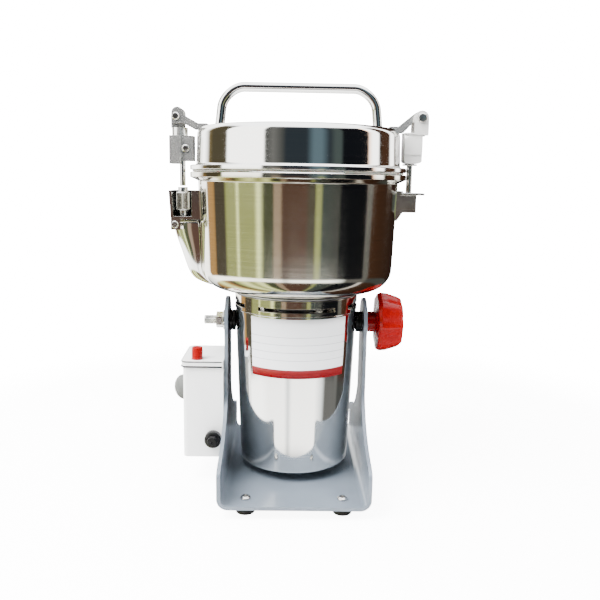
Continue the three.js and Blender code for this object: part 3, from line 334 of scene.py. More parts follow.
def pressed_steel():
    """Steel of the cage, the bracket and the smooth rods, which mirrors more than the stamped one."""
    look = Finish("pressed_steel", Metallic=1.0)
    drag = look.noise(50, detail=3)
    look.tinted(drag, colours().polished, 0.8)
    look.rough(drag, 0.10, 0.20)
    return look.bump((drag, 0.1 * MM, 0.08))


def stand_paint():
    look = Finish("stand_paint", Coat_Weight=0.35, Coat_Roughness=0.08, Metallic=0.15)
    clouds = look.noise(16, detail=3)
    peel = look.noise(60, detail=0)
    look.tinted(clouds, colours().stand, 0.88, 1.08)
    look.rough(look.noise(40, detail=1), 0.28, 0.36)
    return look.bump((peel, 0.05 * MM, 0.05))


def box_paint():
    look = Finish("box_paint", Coat_Weight=0.3, Coat_Roughness=0.12)
    peel = look.noise(700, detail=2)
    look.tinted(look.noise(24, detail=3), colours().control_box, 0.93)
    look.rough(look.noise(120, detail=4), 0.30, 0.45)
    return look.bump((peel, 0.05 * MM, 0.25))


def moulded(name, colour, smooth, dull, coat, shine=0.3):
    """Moulded plastic: a fine texture, flow clouds and a thin gloss."""
    look = Finish(name, Coat_Weight=coat, Coat_Roughness=0.1, Specular_IOR_Level=shine)
    texture = look.noise(1400, detail=2)
    clouds = look.noise(45, detail=3)
    look.tinted(clouds, colour, 0.86, 1.06)
    look.rough(look.noise(200, detail=3), smooth, dull)
    return look.bump((texture, 0.04 * MM, 0.25), (clouds, 0.3 * MM, 0.05))


def foot_rubber():
    look = Finish("foot_rubber")
    dust = look.noise(150, detail=5)
    look.tinted(dust, (0.006, 0.006, 0.006), 0.7, 1.9)
    look.rough(dust, 0.62, 0.88)
    return look.bump((look.noise(900, detail=3), 0.08 * MM, 0.4))


def gasket_rubber():
    look = Finish("gasket_rubber", Subsurface_Weight=0.2, Subsurface_Scale=0.002)
    cloud = look.noise(80, detail=3)
    look.tinted(cloud, (0.72, 0.69, 0.62), 0.85)
    look.rough(cloud, 0.4, 0.6)
    return look.bump((look.noise(600), 0.05 * MM, 0.3))


def cast_alloy():
    look = Finish("cast_alloy", Metallic=1.0)
    grain = look.noise(500, detail=5)
    look.tinted(look.noise(60, detail=4), (0.58, 0.58, 0.60), 0.75)
    look.rough(grain, 0.38, 0.58)
    return look.bump((grain, 0.12 * MM, 0.4))


def motor_iron():
    look = Finish("motor_iron", Metallic=0.8)
    sheets = look.noise(4, stretch=(1, 1, 500), detail=2)
    look.tinted(sheets, (0.22, 0.16, 0.12), 0.5, 1.3)
    look.rough(sheets, 0.35, 0.6)
    return look.bump((sheets, 0.2 * MM, 0.6))


def bare_copper():
    look = Finish("bare_copper", Metallic=1.0)
    wear = look.noise(90, stretch=(1, 1, 8), detail=4)
    look.tinted(wear, (0.72, 0.38, 0.20), 0.6)
    look.rough(wear, 0.2, 0.45)
    return look.bump((wear, 0.05 * MM, 0.3))


def pressed_carbon():
    look = Finish("pressed_carbon")
    grain = look.noise(900, detail=4)
    look.tinted(grain, (0.05, 0.05, 0.055), 0.6)
    look.rough(grain, 0.5, 0.75)
    return look.bump((grain, 0.05 * MM, 0.4))


def label_paper():
    """Glossy white film with a coloured band and plain thin rules between blank fields."""
    look = Finish("label_paper", Coat_Weight=0.1, Coat_Roughness=0.08, Specular_IOR_Level=0.3)
    bottom, top = sizes().label_bottom, sizes().label_top
    split = look.node("ShaderNodeSeparateXYZ")
    look.link(look.place, split.inputs["Vector"])
    share = look.spread(split.outputs["Z"], 0, 1, bottom, top)
    white, rule, rule_share = (0.86, 0.87, 0.88), (0.42, 0.43, 0.45), 0.008
    stops = [(0, tuple(colours().label_red)), (sizes().label_band / (top - bottom), white)]
    for place in (0.30, 0.43, 0.56, 0.69):
        stops += [(place, rule), (place + rule_share, white)]
    look.lead(look.ramp(share, stops, sharp=True), "Base Color")
    look.rough(look.noise(70, detail=3), 0.25, 0.4)
    return look.bump((look.noise(40, detail=2), 0.1 * MM, 0.12))


FINISHES = {
    "stand_paint": stand_paint,
    "box_paint": box_paint,
    "foot_rubber": foot_rubber,
    "gasket_rubber": gasket_rubber,
    "fastener_steel": plated_steel,
    "clamp_steel": lambda: stamped_steel("stamped_steel", 0.88),
    "bright_steel": lambda: stamped_steel("bright_steel", 0.3),
    "pressed_steel": pressed_steel,
    "mirror_steel": polished_steel,
    "satin_steel": satin_steel,
    "cast_alloy": cast_alloy,
    "motor_iron": motor_iron,
    "copper": bare_copper,
    "carbon": pressed_carbon,
    # black_plastic also serves the painted shadow lines at the control box's cover.
    "black_plastic": lambda: moulded("black_plastic", colours().black, 0.25, 0.38, 0),
    "grey_plastic": lambda: moulded("grey_plastic", colours().grey, 0.38, 0.5, 0.1),
    "red_plastic": lambda: moulded("red_plastic", colours().red, 0.20, 0.30, 0, 0.2),
    "label": label_paper,
}
MADE = {}


def finish_for(slot):
    """The material of a slot, made once."""
    if slot not in MADE:
        MADE[slot] = FINISHES[slot]().material
    return MADE[slot]


SLOT_OF = {part["node"]: part["material_slot"] for part in frame["record"]["subparts"]}
BODY_OF = {node: body for body, nodes in frame["record"]["behaviour"]["bodies"].items() for node in nodes}


def dress(piece, *nodes, slot=None, body=None, look=None):
    """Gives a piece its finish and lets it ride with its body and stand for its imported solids."""
    slot = slot or SLOT_OF[nodes[0]]
    piece.data.materials.clear()
    piece.data.materials.append(finish_for(look or slot))
    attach(piece, body or BODY_OF[nodes[0]])
    if nodes:
        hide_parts(*nodes)
    return piece


# Shapes


def placed(name, data):
    """A new object in the scene."""
    made = bpy.data.objects.new(name, data)
    bpy.context.scene.collection.objects.link(made)
    return made


def made_piece(name, work, sharp_angle=SHARP_ANGLE):
    """Turns a worked mesh into an object with smooth faces and crisp edges."""
    bmesh.ops.remove_doubles(work, verts=work.verts, dist=1e-6)
    bmesh.ops.recalc_face_normals(work, faces=work.faces)
    mesh = bpy.data.meshes.new(name)
    work.to_mesh(mesh)
    work.free()
    mesh.shade_smooth()
    mesh.set_sharp_from_angle(angle=math.radians(sharp_angle))
    return placed(name, mesh)


def edge_rounded(piece, width, segments=3, angle=40):
    """Rounds over the crisp edges of a piece."""
    bevel = piece.modifiers.new("rounded edges", "BEVEL")
    bevel.width = width
    bevel.segments = segments
    bevel.limit_method = "ANGLE"
    bevel.angle_limit = math.radians(angle)
    bevel.harden_normals = True
    bevel.use_clamp_overlap = True
    return piece


def thickened(piece, thickness, offset=0, even=False):
    """Gives an open sheet its thickness."""
    sheet = piece.modifiers.new("sheet", "SOLIDIFY")
    sheet.thickness = thickness
    sheet.offset = offset
    sheet.use_even_offset = even
    return piece


def softened(name, node, width, look=None, foot_radius=0):
    """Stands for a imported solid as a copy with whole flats, rounded edges and, if asked, a round foot."""
    work = bmesh.new()
    work.from_mesh(frame["nodes"][node].data)
    bmesh.ops.remove_doubles(work, verts=work.verts, dist=2e-6)
    bmesh.ops.dissolve_limit(work, angle_limit=math.radians(0.6), verts=work.verts, edges=work.edges)
    if foot_radius:
        floor = low(node).z + 0.05 * MM
        corners = [edge for edge in work.edges if max(v.co.z for v in edge.verts) < floor
                   and abs(edge.verts[0].co.x - edge.verts[1].co.x) < 0.01 * MM]
        bmesh.ops.bevel(work, geom=corners, offset=foot_radius, segments=8, profile=0.5, affect="EDGES")
    return dress(edge_rounded(made_piece(name, work), width), node, look=look)


def filleted(corners, steps=CORNER_STEPS):
    """An outline whose corners are replaced by arcs. A corner is (across, up, radius)."""
    points = []
    count = len(corners)
    for i, (across, up, radius) in enumerate(corners):
        here = Vector((across, up))
        back = Vector(corners[i - 1][:2]) - here
        ahead = Vector(corners[(i + 1) % count][:2]) - here
        if radius <= 0 or back.length == 0 or ahead.length == 0:
            points.append(here)
            continue
        half = back.angle(ahead) / 2
        inset = min(radius / math.tan(half), back.length * 0.49, ahead.length * 0.49)
        radius = inset * math.tan(half)
        centre = here + (back.normalized() + ahead.normalized()).normalized() * (radius / math.sin(half))
        start = here + back.normalized() * inset - centre
        sweep = start.angle_signed(here + ahead.normalized() * inset - centre)
        for k in range(steps + 1):
            points.append(centre + Matrix.Rotation(-sweep * k / steps, 2) @ start)
    return points


def turned(name, corners, steps=WIDE_STEPS, at=(0, 0, 0), pointing="+Z", ripple=None,
           fillet_steps=CORNER_STEPS):
    """A solid of revolution from a closed outline of (radius, height, fillet) corners."""
    outline = filleted(corners, fillet_steps)
    work = bmesh.new()
    rings = []
    for k in range(steps):
        angle = 2 * math.pi * k / steps
        ring = []
        for point in outline:
            radius = ripple(point.x, point.y, angle) if ripple else point.x
            ring.append(work.verts.new((radius * math.cos(angle), radius * math.sin(angle), point.y)))
        rings.append(ring)
    for k, ring in enumerate(rings):
        after = rings[(k + 1) % steps]
        for i, point in enumerate(outline):
            j = (i + 1) % len(outline)
            if point.x > 1e-9 or outline[j].x > 1e-9:
                work.faces.new((ring[i], ring[j], after[j], after[i]))
    bmesh.ops.remove_doubles(work, verts=work.verts, dist=1e-6)
    bmesh.ops.dissolve_degenerate(work, edges=work.edges, dist=1e-7)
    bmesh.ops.transform(work, matrix=Matrix.Translation(Vector(at)) @ POINTING[pointing], verts=work.verts)
    return made_piece(name, work)


def in_mm(corners):
    """Outline corners given in millimetres."""
    return [(across * MM, up * MM, radius * MM) for across, up, radius in corners]


def lathed(node, name, corners, *how, **more):
    """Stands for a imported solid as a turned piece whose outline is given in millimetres."""
    return dress(turned(name, in_mm(corners), *how, **more), node)


def ribbed(ribs, depth, where):
    """A ripple of ribs round a turned piece, wherever its radius and height pass a test."""
    return lambda radius, height, angle: (
        radius * (1 + depth * math.cos(ribs * angle)) if where(radius, height) else radius)


def skinned(work, rows, ring=False):
    """Faces between rows of points that follow each other. The points of a ring close on themselves."""
    count = len(rows[0])
    for row, after in zip(rows, rows[1:]):
        for k in range(count if ring else count - 1):
            j = (k + 1) % count
            work.faces.new((row[k], row[j], after[j], after[k]))


def capped(work, rings):
    """A closed body between two rings, or along more of them."""
    skinned(work, rings, ring=True)
    work.faces.new(rings[0][::-1])
    work.faces.new(rings[-1])


def swept(name, route, radius, sides=24):
    """A round bar along a list of points, closed at both ends."""
    work = bmesh.new()
    rings = []
    for i, point in enumerate(route):
        ahead = (route[min(i + 1, len(route) - 1)] - route[max(i - 1, 0)]).normalized()
        turn = Vector((0, 0, 1)).rotation_difference(ahead).to_matrix()
        rings.append([work.verts.new(point + turn @ Vector((radius * math.cos(a), radius * math.sin(a), 0)))
                      for a in (2 * math.pi * k / sides for k in range(sides))])
    capped(work, rings)
    return made_piece(name, work)


def settled(piece):
    """The mesh of a piece with its modifiers applied."""
    graph = bpy.context.evaluated_depsgraph_get()
    graph.update()
    return bpy.data.meshes.new_from_object(piece.evaluated_get(graph))


def joined(name, *pieces):
    """Several pieces made into one object, with their modifiers applied."""
    work = bmesh.new()
    for piece in pieces:
        work.from_mesh(settled(piece))
        bpy.data.objects.remove(piece)
    mesh = bpy.data.meshes.new(name)
    work.to_mesh(mesh)
    work.free()
    return placed(name, mesh)


def smooth_bar(name, node):
    """An upright bar with chamfered ends, where a packed rod stands."""
    edge, radius = 0.4, 2.5
    bottom, top = heights_of(node)
    corners = [(0, bottom, 0), (radius - edge, bottom, 0), (radius, bottom + edge, 0),
               (radius, top - edge, 0), (radius - edge, top, 0), (0, top, 0)]
    return turned(name, in_mm(corners), SMALL_STEPS, (middle(node).x, middle(node).y, 0))


def threaded_bar(name, radius, bottom, top, at, pointing):
    """A bar with ridges like a cut thread along it."""
    pitch, depth = sizes().thread_pitch, sizes().thread_depth
    corners = [(0, bottom, 0), (radius - depth, bottom, 0)]
    turns = int((top - bottom - pitch) / pitch)
    for k in range(turns):
        start = bottom + pitch * (k + 0.5)
        corners += [(radius - depth, start, 0), (radius, start + pitch / 2, 0)]
    corners += [(radius - depth, top, 0), (0, top, 0)]
    return turned(name, corners, SMALL_STEPS, at, pointing)


# Stand and feet


def arm_half_width(height):
    """Half the depth of the stand's arm at a height: flare, column and round head.

    The flare is a curve drawn by one bend point. The place on it at the asked height is found by halving.
    """
    half = extent("stand_frame").y / 2
    head, column, flare_top, flare_foot = ARM_HEAD, 19 * MM, 80 * MM, 40 * MM
    bend, bend_height, corner = 36 * MM, 46 * MM, 6 * MM
    neck = PIVOT_HEIGHT - math.sqrt(head ** 2 - column ** 2)
    if height >= neck:
        return math.sqrt(max(0, head ** 2 - (height - PIVOT_HEIGHT) ** 2))
    if height >= flare_top:
        return column
    if height <= flare_foot:
        over = max(0, height - flare_foot + corner)
        return half - corner + math.sqrt(corner ** 2 - over ** 2)
    share_low, share_high, halvings = 0.0, 1.0, 24
    for _ in range(halvings):
        t = (share_low + share_high) / 2
        z = (1 - t) ** 2 * flare_foot + 2 * t * (1 - t) * bend_height + t * t * flare_top
        share_low, share_high = (t, share_high) if z < height else (share_low, t)
    return min(half - corner, (1 - t) ** 2 * half + 2 * t * (1 - t) * bend + t * t * column)


def stand_sheet():
    """The bent sheet: a plate with an arm folded up at each side."""
    sheet = 3 * MM
    bend = 9 * MM - sheet / 2
    side = extent("stand_frame").x / 2 - sheet / 2
    floor = low("stand_frame").z + sheet / 2
    head_rows, bend_rows, across = 22, CORNER_STEPS * 2, 24
    arm = [PIVOT_HEIGHT + ARM_HEAD * math.cos(math.radians(4 + 111 * k / head_rows))
           for k in range(head_rows + 1)]
    arm += [z * MM for z in (122, 105, 90, *range(80, 51, -2), *range(51, 33, -1), 26)]
    path = [(-side, z) for z in arm]
    for k in range(bend_rows + 1):
        angle = math.pi + math.pi / 2 * k / bend_rows
        path.append((-side + bend + bend * math.cos(angle), floor + bend + bend * math.sin(angle)))
    path += [(-26 * MM, floor), (0, floor)]
    path += [(-x, z) for x, z in path[-2::-1]]
    work = bmesh.new()
    rows = []
    for x, z in path:
        half = arm_half_width(z)
        rows.append([work.verts.new((x, -half + 2 * half * k / across, z)) for k in range(across + 1)])
    skinned(work, rows)
    piece = thickened(made_piece("stand_sheet", work), sheet, even=True)
    return edge_rounded(piece, sizes().sheet_edge, angle=50)


def feet():
    for i in range(1, 5):
        node, screw = f"foot_{i}", f"foot_screw_{i}"
        at = middle(node)
        wide, tall = radius_of(node), extent(node).z / MM
        lathed(node, f"rubber_foot_{i}", [
            (0, 0, 0), (wide - 1.6, 0, 0.8), (wide - 0.9, 2.4, 0.4), (wide, 3.2, 0.4), (wide, tall, 0.6),
            (0, tall, 0),
        ], MID_STEPS, (at.x, at.y, 0))
        radius, under = radius_of(screw), -extent(screw).z / MM
        lathed(screw, f"foot_screw_head_{i}", [
            (0, under, 0), (2, under, 0.3), (2, -2.2, 0), (radius, -2.2, 0.2), (radius, -1.2, 0.9),
            (radius - 1.6, 0, 0.8), (1.1, 0, 0.1), (1.0, -1.1, 0.1), (0, -1.1, 0),
        ], SMALL_STEPS, (at.x, at.y, high(screw).z))


# Control box


def control_box():
    box, cover = "control_box", "control_box_lid"
    softened("box_shell", box, sizes().box_edge)
    softened("box_cover", cover, sizes().box_edge)
    # Painted shadow: two thin black bars stand for the shade in the gaps at the cover's lower and upper
    # edges.
    painted_shadow_line("painted_shadow_line_low", low(cover).z + 0.2 * MM, 0.7 * MM)
    painted_shadow_line("painted_shadow_line_high", high(cover).z - 0.5 * MM, 0.5 * MM)


def painted_shadow_line(name, height, radius):
    """A dark line round the three free sides of the box's cover: a thin black bar that is painted shadow,
    standing for the shade in the gap at the cover's edge.
    """
    node, corner, steps = "control_box_lid", 5.2 * MM, 8
    end = high(node).x - 1 * MM
    route = [(end, low(node).y)]
    for centre, start in ((low(node).y + corner, -90), (high(node).y - corner, 180)):
        for k in range(steps + 1):
            turn = math.radians(start - 90 * k / steps)
            route.append((low(node).x + corner * (1 + math.cos(turn)), centre + corner * math.sin(turn)))
    route.append((end, high(node).y))
    # The black bar is painted shadow, not a part of the box.
    seam = swept(name, [Vector((x, y, height)) for x, y in route], radius, 8)
    dress(seam, slot="black_plastic", body=BODY_OF[node])


def timer_dial():
    """The domed timer knob, finely ribbed, with a raised mark over it."""
    node = "timer_knob"
    deep, foot, skirt, dome = 11.2, 2.1, 11.8, 11.1
    face = low(node).x + deep * MM
    at = (face, middle(node).y, middle(node).z)
    stem = (face - high(node).x) / MM
    arc = [math.radians(7.5 * k) for k in range(1, 12)]
    knob = turned("timer_dome", in_mm([
        (0, stem, 0), (3, stem, 0.2), (3, 0, 0), (skirt, 0, 0.3), (skirt, 1.6, 0.5), (dome, foot, 0.3),
        *((dome * math.cos(a), foot + (deep - 2.7) * math.sin(a), 0) for a in arc), (0, deep - 0.6, 0),
    ]), WIDE_STEPS, at, "-X", ribbed(36, 0.012, lambda r, h: r > 10.5 * MM and h > 2 * MM))
    mark = []
    for k in range(21):
        turn = math.radians(-70 + 7 * k)
        out, up = foot + (deep - 2.9) * math.cos(turn), 10.9 * math.sin(turn)
        mark.append(Vector((face - out * MM, at[1], at[2] + up * MM)))
    dress(joined("timer_dial_knob", knob, swept("timer_mark", mark, 0.8 * MM, 12)), node)


def push_button():
    node = "reset_button"
    at, wide, (bottom, top) = middle(node), radius_of(node), heights_of(node)
    lathed(node, "red_push_button", [
        (0, bottom, 0), (2, bottom, 0.2), (2, top - 16, 0), (wide, top - 16, 0.3), (wide - 0.2, top, 1.1),
        (wide - 1.6, top, 0.4), (wide - 2.2, top - 0.35, 0.4), (0, top - 0.35, 0),
    ], MID_STEPS, (at.x, at.y, 0))


def fuse_plug():
    node = "fuse_cap"
    at, radius = middle(node), radius_of(node)
    stem, front = -high(node).y / MM, -low(node).y / MM
    back = front - 11
    lathed(node, "fuse_plug_cap", [
        (0, stem, 0), (3, stem, 0), (3, back, 0), (radius, back, 0.3), (radius, back + 6, 1.2),
        (5.4, back + 7, 0.4), (4.6, back + 7, 0.2), (4.1, front, 0.7), (1.2, front, 0.1),
        (1.2, front - 1.1, 0.1), (0, front - 1.1, 0),
    ], MID_STEPS * 2, (at.x, 0, at.z), "-Y",
        ribbed(24, 0.018, lambda r, h: r > 6.6 * MM and h < (back + 5.6) * MM))


def gland():
    node = "cord_gland"
    at = middle(node)
    neck, nose = low(node).y / MM, high(node).y / MM
    face = nose - 9
    lathed(node, "gland_body", [
        (3.2, neck, 0.2), (6, neck, 0.3), (6, face, 0), (9, face, 0.3), (9, face + 2.4, 0.7),
        (6.4, face + 2.6, 0.4), (5.9, nose, 1.0), (3.2, nose, 0.6),
    ], MID_STEPS, (at.x, 0, at.z), "+Y")


# Motor can, band, label


def can_radius(height):
    """Outside radius of the tapered can at a height."""
    wide, top = extent("motor_can").x / 2, high("motor_can").z
    return CAN_FOOT + (wide - CAN_FOOT) * (height - CAN_BOTTOM) / (top - CAN_BOTTOM)


def motor_can():
    node = "motor_can"
    bottom, top = heights_of(node)
    wide, narrow, wall, recess = radius_of(node), CAN_FOOT / MM, 1.5, 0.8
    lathed(node, "can_shell", [
        (0, bottom + recess, 0), (34, bottom + recess, 1.5), (37, bottom, 1.5), (narrow, bottom, 2.6),
        (wide, top, 0.4), (wide - wall, top, 0.3), (narrow - wall, bottom + wall + recess, 3.5),
        (0, bottom + wall + recess, 0),
    ], fillet_steps=10)


def vent_band():
    """The slotted ring under the bowl: two skins with windows between bridges, at one gap of the levels."""
    node = "vent_collar"
    outer = extent(node).x / 2
    inner = outer - 3 * MM
    bottom, top = low(node).z, high(node).z
    levels = [bottom, bottom + 0.4 * MM, bottom + 3.3 * MM, bottom + 6.5 * MM, top - 0.4 * MM, top]
    gap, slots, across, between = 2, 4, 30, 6
    slot_arc = math.radians(72)
    bridge_arc = 2 * math.pi / slots - slot_arc
    angles = []
    for k in range(slots):
        start = 2 * math.pi / slots * k - slot_arc / 2
        angles += [start + slot_arc * j / across for j in range(across)]
        angles += [start + slot_arc + bridge_arc * j / between for j in range(between)]
    total = len(angles)
    windows = {k for k in range(total) if k % (across + between) < across}
    work = bmesh.new()
    skins = [[[work.verts.new((radius * math.cos(a), radius * math.sin(a), z)) for z in levels]
              for a in angles] for radius in (inner, outer)]
    for k in range(total):
        j = (k + 1) % total
        for i in range(len(levels) - 1):
            if k in windows and i == gap:
                continue
            for skin in skins:
                work.faces.new((skin[k][i], skin[j][i], skin[j][i + 1], skin[k][i + 1]))
        for i in (0, len(levels) - 1, *((gap, gap + 1) if k in windows else ())):
            work.faces.new((skins[0][k][i], skins[0][j][i], skins[1][j][i], skins[1][k][i]))
        for edge, beside in ((k, (k - 1) % total), (j, j)):
            if k in windows and beside not in windows:
                first, last = skins[0][edge], skins[1][edge]
                work.faces.new((first[gap], first[gap + 1], last[gap + 1], last[gap]))
    dress(edge_rounded(made_piece("slotted_band", work), 0.3 * MM, 2, 50), node)


def end_frame():
    node = "upper_end_frame"
    (hub, top), radius = heights_of(node), radius_of(node)
    under, rim = 168.3, 1.2
    seal, pocket = low("shaft_seal").z / MM - 0.3, high("upper_bearing").z / MM + 0.3
    lathed(node, "end_frame_plate", [
        (11.3, hub, 0.3), (17, hub, 0.8), (17, under, 1.5), (radius, under, 0.3), (radius, under + rim, 0.4),
        (44, under + rim, 0.8), (44, top, 0.6), (10.5, top, 0.3), (10.5, seal, 0), (7, seal, 0),
        (7, pocket, 0), (11.3, pocket, 0),
    ])


def label():
    """A thin printed film wrapped round the front of the can."""
    s = sizes()
    across, up, lift = 72, 8, 0.12 * MM
    start = -math.pi / 2 + s.label_turn - s.label_arc / 2
    work = bmesh.new()
    rows = []
    for i in range(up + 1):
        z = s.label_bottom + (s.label_top - s.label_bottom) * i / up
        radius = can_radius(z) + lift
        rows.append([work.verts.new((radius * math.cos(a), radius * math.sin(a), z))
                     for a in (start + s.label_arc * k / across for k in range(across + 1))])
    skinned(work, rows)
    dress(thickened(made_piece("can_label", work), 0.1 * MM), slot="label", body=BODY_OF["motor_can"])


# Bowl and lid


def bowl():
    node = "bowl"
    (bottom, top), rim = heights_of(node), radius_of(node) - RIM_GAP
    flange, wall = 264.6, 3
    lathed(node, "grinding_bowl", [
        (10.5, bottom, 0.3), (BOWL_FOOT, bottom, BOWL_FOOT_ROUND), (BOWL_SHOULDER, BOWL_SHOULDER_HEIGHT, 1.2),
        (rim - 0.5, flange, 0.3), (rim, flange + 0.5, 0.4), (rim, top - 0.4, 0.4), (rim - 0.7, top, 0.3),
        (82, top, 0.6), (79, bottom + wall, 15), (10.5, bottom + wall, 0.3),
    ], WIDE_STEPS + 32, fillet_steps=12)


def lid_cover():
    node = "lid"
    top, rim = LID_TOP / MM, radius_of(node) - RIM_GAP
    seam, flange = 270.8, 274.6
    lathed(node, "lid_cover", [
        (0, top - 1.6, 0), (60, top - 1.8, 30), (82.8, top - 2.6, 6.5), (83.7, flange, 0.5),
        (83.7, seam, 0.3), (rim - 0.5, seam, 0.3), (rim, seam + 0.4, 0.4), (rim, flange - 0.6, 0.4),
        (rim - 0.7, flange, 0.4), (87.2, flange - 0.2, 0.8), (85.3, flange + 0.7, 1.4), (84.7, 292, 30),
        (84.4, top - 0.7, 9.5), (72, top, 30), (0, top, 0),
    ], WIDE_STEPS + 32, fillet_steps=12)


def handle_bar():
    """The bar handle: a rod that leans in and bends over, on a round pad at each foot."""
    node = "lid_handle"
    radius, foot_x, top_x, bend, straight = 4 * MM, 66.3 * MM, 62.5 * MM, 17 * MM, 30 * MM
    foot, bar_z = low(node).z, high(node).z - radius
    start, knee, end = Vector((-foot_x, foot)), Vector((-top_x, bar_z)), Vector((0, bar_z))
    first = knee - (knee - start).normalized() * bend
    last = knee + (end - knee).normalized() * bend
    near, far = first.lerp(knee, 0.497), last.lerp(knee, 0.497)
    route = [start.lerp(first, k / 4) for k in range(4)]
    for t in (k / 16 for k in range(17)):
        route.append((1 - t) ** 3 * first + 3 * t * (1 - t) ** 2 * near + 3 * t * t * (1 - t) * far
                     + t ** 3 * last)
    half = [Vector((p.x, 0, p.y)) for p in route]
    full = half + [Vector((x, 0, bar_z)) for x in (-straight, 0, straight)]
    full += [Vector((-p.x, 0, p.z)) for p in reversed(half)]
    pads = [turned("handle_pad", in_mm([
        (0, 0, 0), (7, 0, 0.2), (7, 1.6, 0.6), (4.6, 1.6, 0.5), (4.1, 2.6, 0.3), (0, 2.6, 0),
    ]), MID_STEPS, (side * foot_x, 0, foot)) for side in (-1, 1)]
    dress(joined("lid_handle_bar", swept("handle_rod", full, radius, 40), *pads), node)


# Hinge on the right and clamp on the left


def riveted_pin(name, node):
    """A pin across Y with a low round head at each end."""
    radius, half, head = radius_of(node), extent(node).y / 2 / MM, 2.0
    shank = radius / 1.6
    profile = [(0, half, 0), (radius - 0.8, half, 0.5), (radius, half - 0.9, 0.5), (radius, half - head, 0.2),
               (shank, half - head, 0)]
    outline = [(x, -y, fillet) for x, y, fillet in profile] + profile[::-1]
    lathed(node, name, outline, SMALL_STEPS, middle(node), "+Y")


def hinge():
    edge, node = sizes().clamp_edge, "hinge_rod"
    softened("hinge_rod_bracket", "hinge_bracket", edge, "pressed_steel")
    softened("hinge_post_head", "hinge_post", edge, "bright_steel", 4.5 * MM)
    softened("lid_hinge_strap", "lid_hinge_arm", edge)
    riveted_pin("hinge_rivet", "hinge_pin")
    under, over = 277.1, 278.4
    collar = turned("hinge_rod_collar", in_mm([
        (2.2, under, 0), (6.2, under, 0.3), (6.2, over, 0.3), (2.2, over, 0),
    ]), SMALL_STEPS, (middle(node).x, middle(node).y, 0))
    rod = joined("hinge_rod_and_collar", smooth_bar("hinge_rod_bar", node), collar)
    dress(rod, node, look="pressed_steel")


def clamp():
    edge = sizes().clamp_edge
    softened("clamp_ears", "latch_bracket", edge)
    softened("clamp_head", "latch_block", edge)
    softened("clamp_cage", "latch_cage", edge, "pressed_steel")
    dress(clamp_cage_back(), slot="black_plastic", body=BODY_OF["latch_cage"])
    dress(lever_spoon(), "latch_lever")
    riveted_pin("clamp_rivet", "latch_pin")
    riveted_pin("clamp_lever_rivet", "lever_pin")
    dress(smooth_bar("clamp_rod", "latch_rod"), "latch_rod", look="pressed_steel")


def bowl_side(height):
    """Outside radius of the bowl at a height, in millimetres."""
    foot = low("bowl").z / MM + BOWL_FOOT_ROUND
    if height >= foot:
        return BOWL_FOOT + (BOWL_SHOULDER - BOWL_FOOT) * (height - foot) / (BOWL_SHOULDER_HEIGHT - foot)
    return BOWL_FOOT - BOWL_FOOT_ROUND + math.sqrt(BOWL_FOOT_ROUND ** 2 - (foot - height) ** 2)


def lever_spoon():
    """The clamp's lever: a hollow spoon whose back is rounded over, open to the bowl.

    A row is how far out its back lies, the back's height, its edges' height and half its width.
    """
    rows = (
        (104.6, 228.3, 228.3, 12.0), (105.2, 221, 221, 12.1), (102.2, 212, 213, 12.1), (99.6, 205, 207, 12.0),
        (97.3, 198.1, 202, 11.8), (93.7, 186.9, 194, 11.2), (90.1, 180.8, 189, 10.6),
        (85.4, 177.2, 184.5, 9.9), (79.0, 174.9, 180, 8.8), (73.5, 173.0, 176.4, 7.4),
    )
    across, power, gap = 28, 2.5, 1.0
    work = bmesh.new()
    grid = []
    for out, out_height, in_height, half in rows:
        near = bowl_side(in_height) + gap
        line = []
        for k in range(across + 1):
            turn = math.pi * k / across
            side = -math.copysign(abs(math.cos(turn)) ** (2 / power), math.cos(turn)) * half
            share = math.sin(turn) ** (2 / power)
            wall = math.sqrt(near ** 2 - side ** 2)
            line.append(work.verts.new(Vector((
                -(wall + (out - wall) * share), side, in_height + (out_height - in_height) * share)) * MM))
        grid.append(line)
    skinned(work, grid)
    spoon = made_piece("clamp_lever_spoon", work, 60)
    smooth = spoon.modifiers.new("smooth", "SUBSURF")
    smooth.levels = smooth.render_levels = 2
    return thickened(spoon, 1.2 * MM, -1)


def clamp_cage_back():
    """The plate that closes the clamp's cage behind the nut."""
    first, last = low("latch_cage"), high("latch_cage")
    inner, top, floor = -86 * MM, last.z, BOWL_TOP - 38 * MM
    corners = [(first.x + 1.2 * MM, top), (first.x + 2.4 * MM, floor), (inner, floor), (inner, top)]
    work = bmesh.new()
    capped(work, [[work.verts.new((x, y, z)) for x, z in corners]
                  for y in (last.y - 1.8 * MM, last.y - 0.2 * MM)])
    return made_piece("cage_back", work)


def knurled_nut():
    node = "latch_nut"
    at, (bottom, top), ridges = middle(node), heights_of(node), sizes().nut_ridges
    under, over, chamfer = 236.9, 252.1, 0.8
    lathed(node, "knurled_nut", [
        (0, bottom, 0), (3.4, bottom, 0.2), (3.4, under, 0.2), (5.1, under, 0), (5.75, under + chamfer, 0),
        (5.75, over - chamfer, 0), (5.1, over, 0), (4.2, over, 0.2), (4.2, top, 0.4), (0, top, 0),
    ], ridges * 6, (at.x, at.y, 0), "+Z", ribbed(ridges, 0.035, lambda r, h: r > 5.5 * MM))


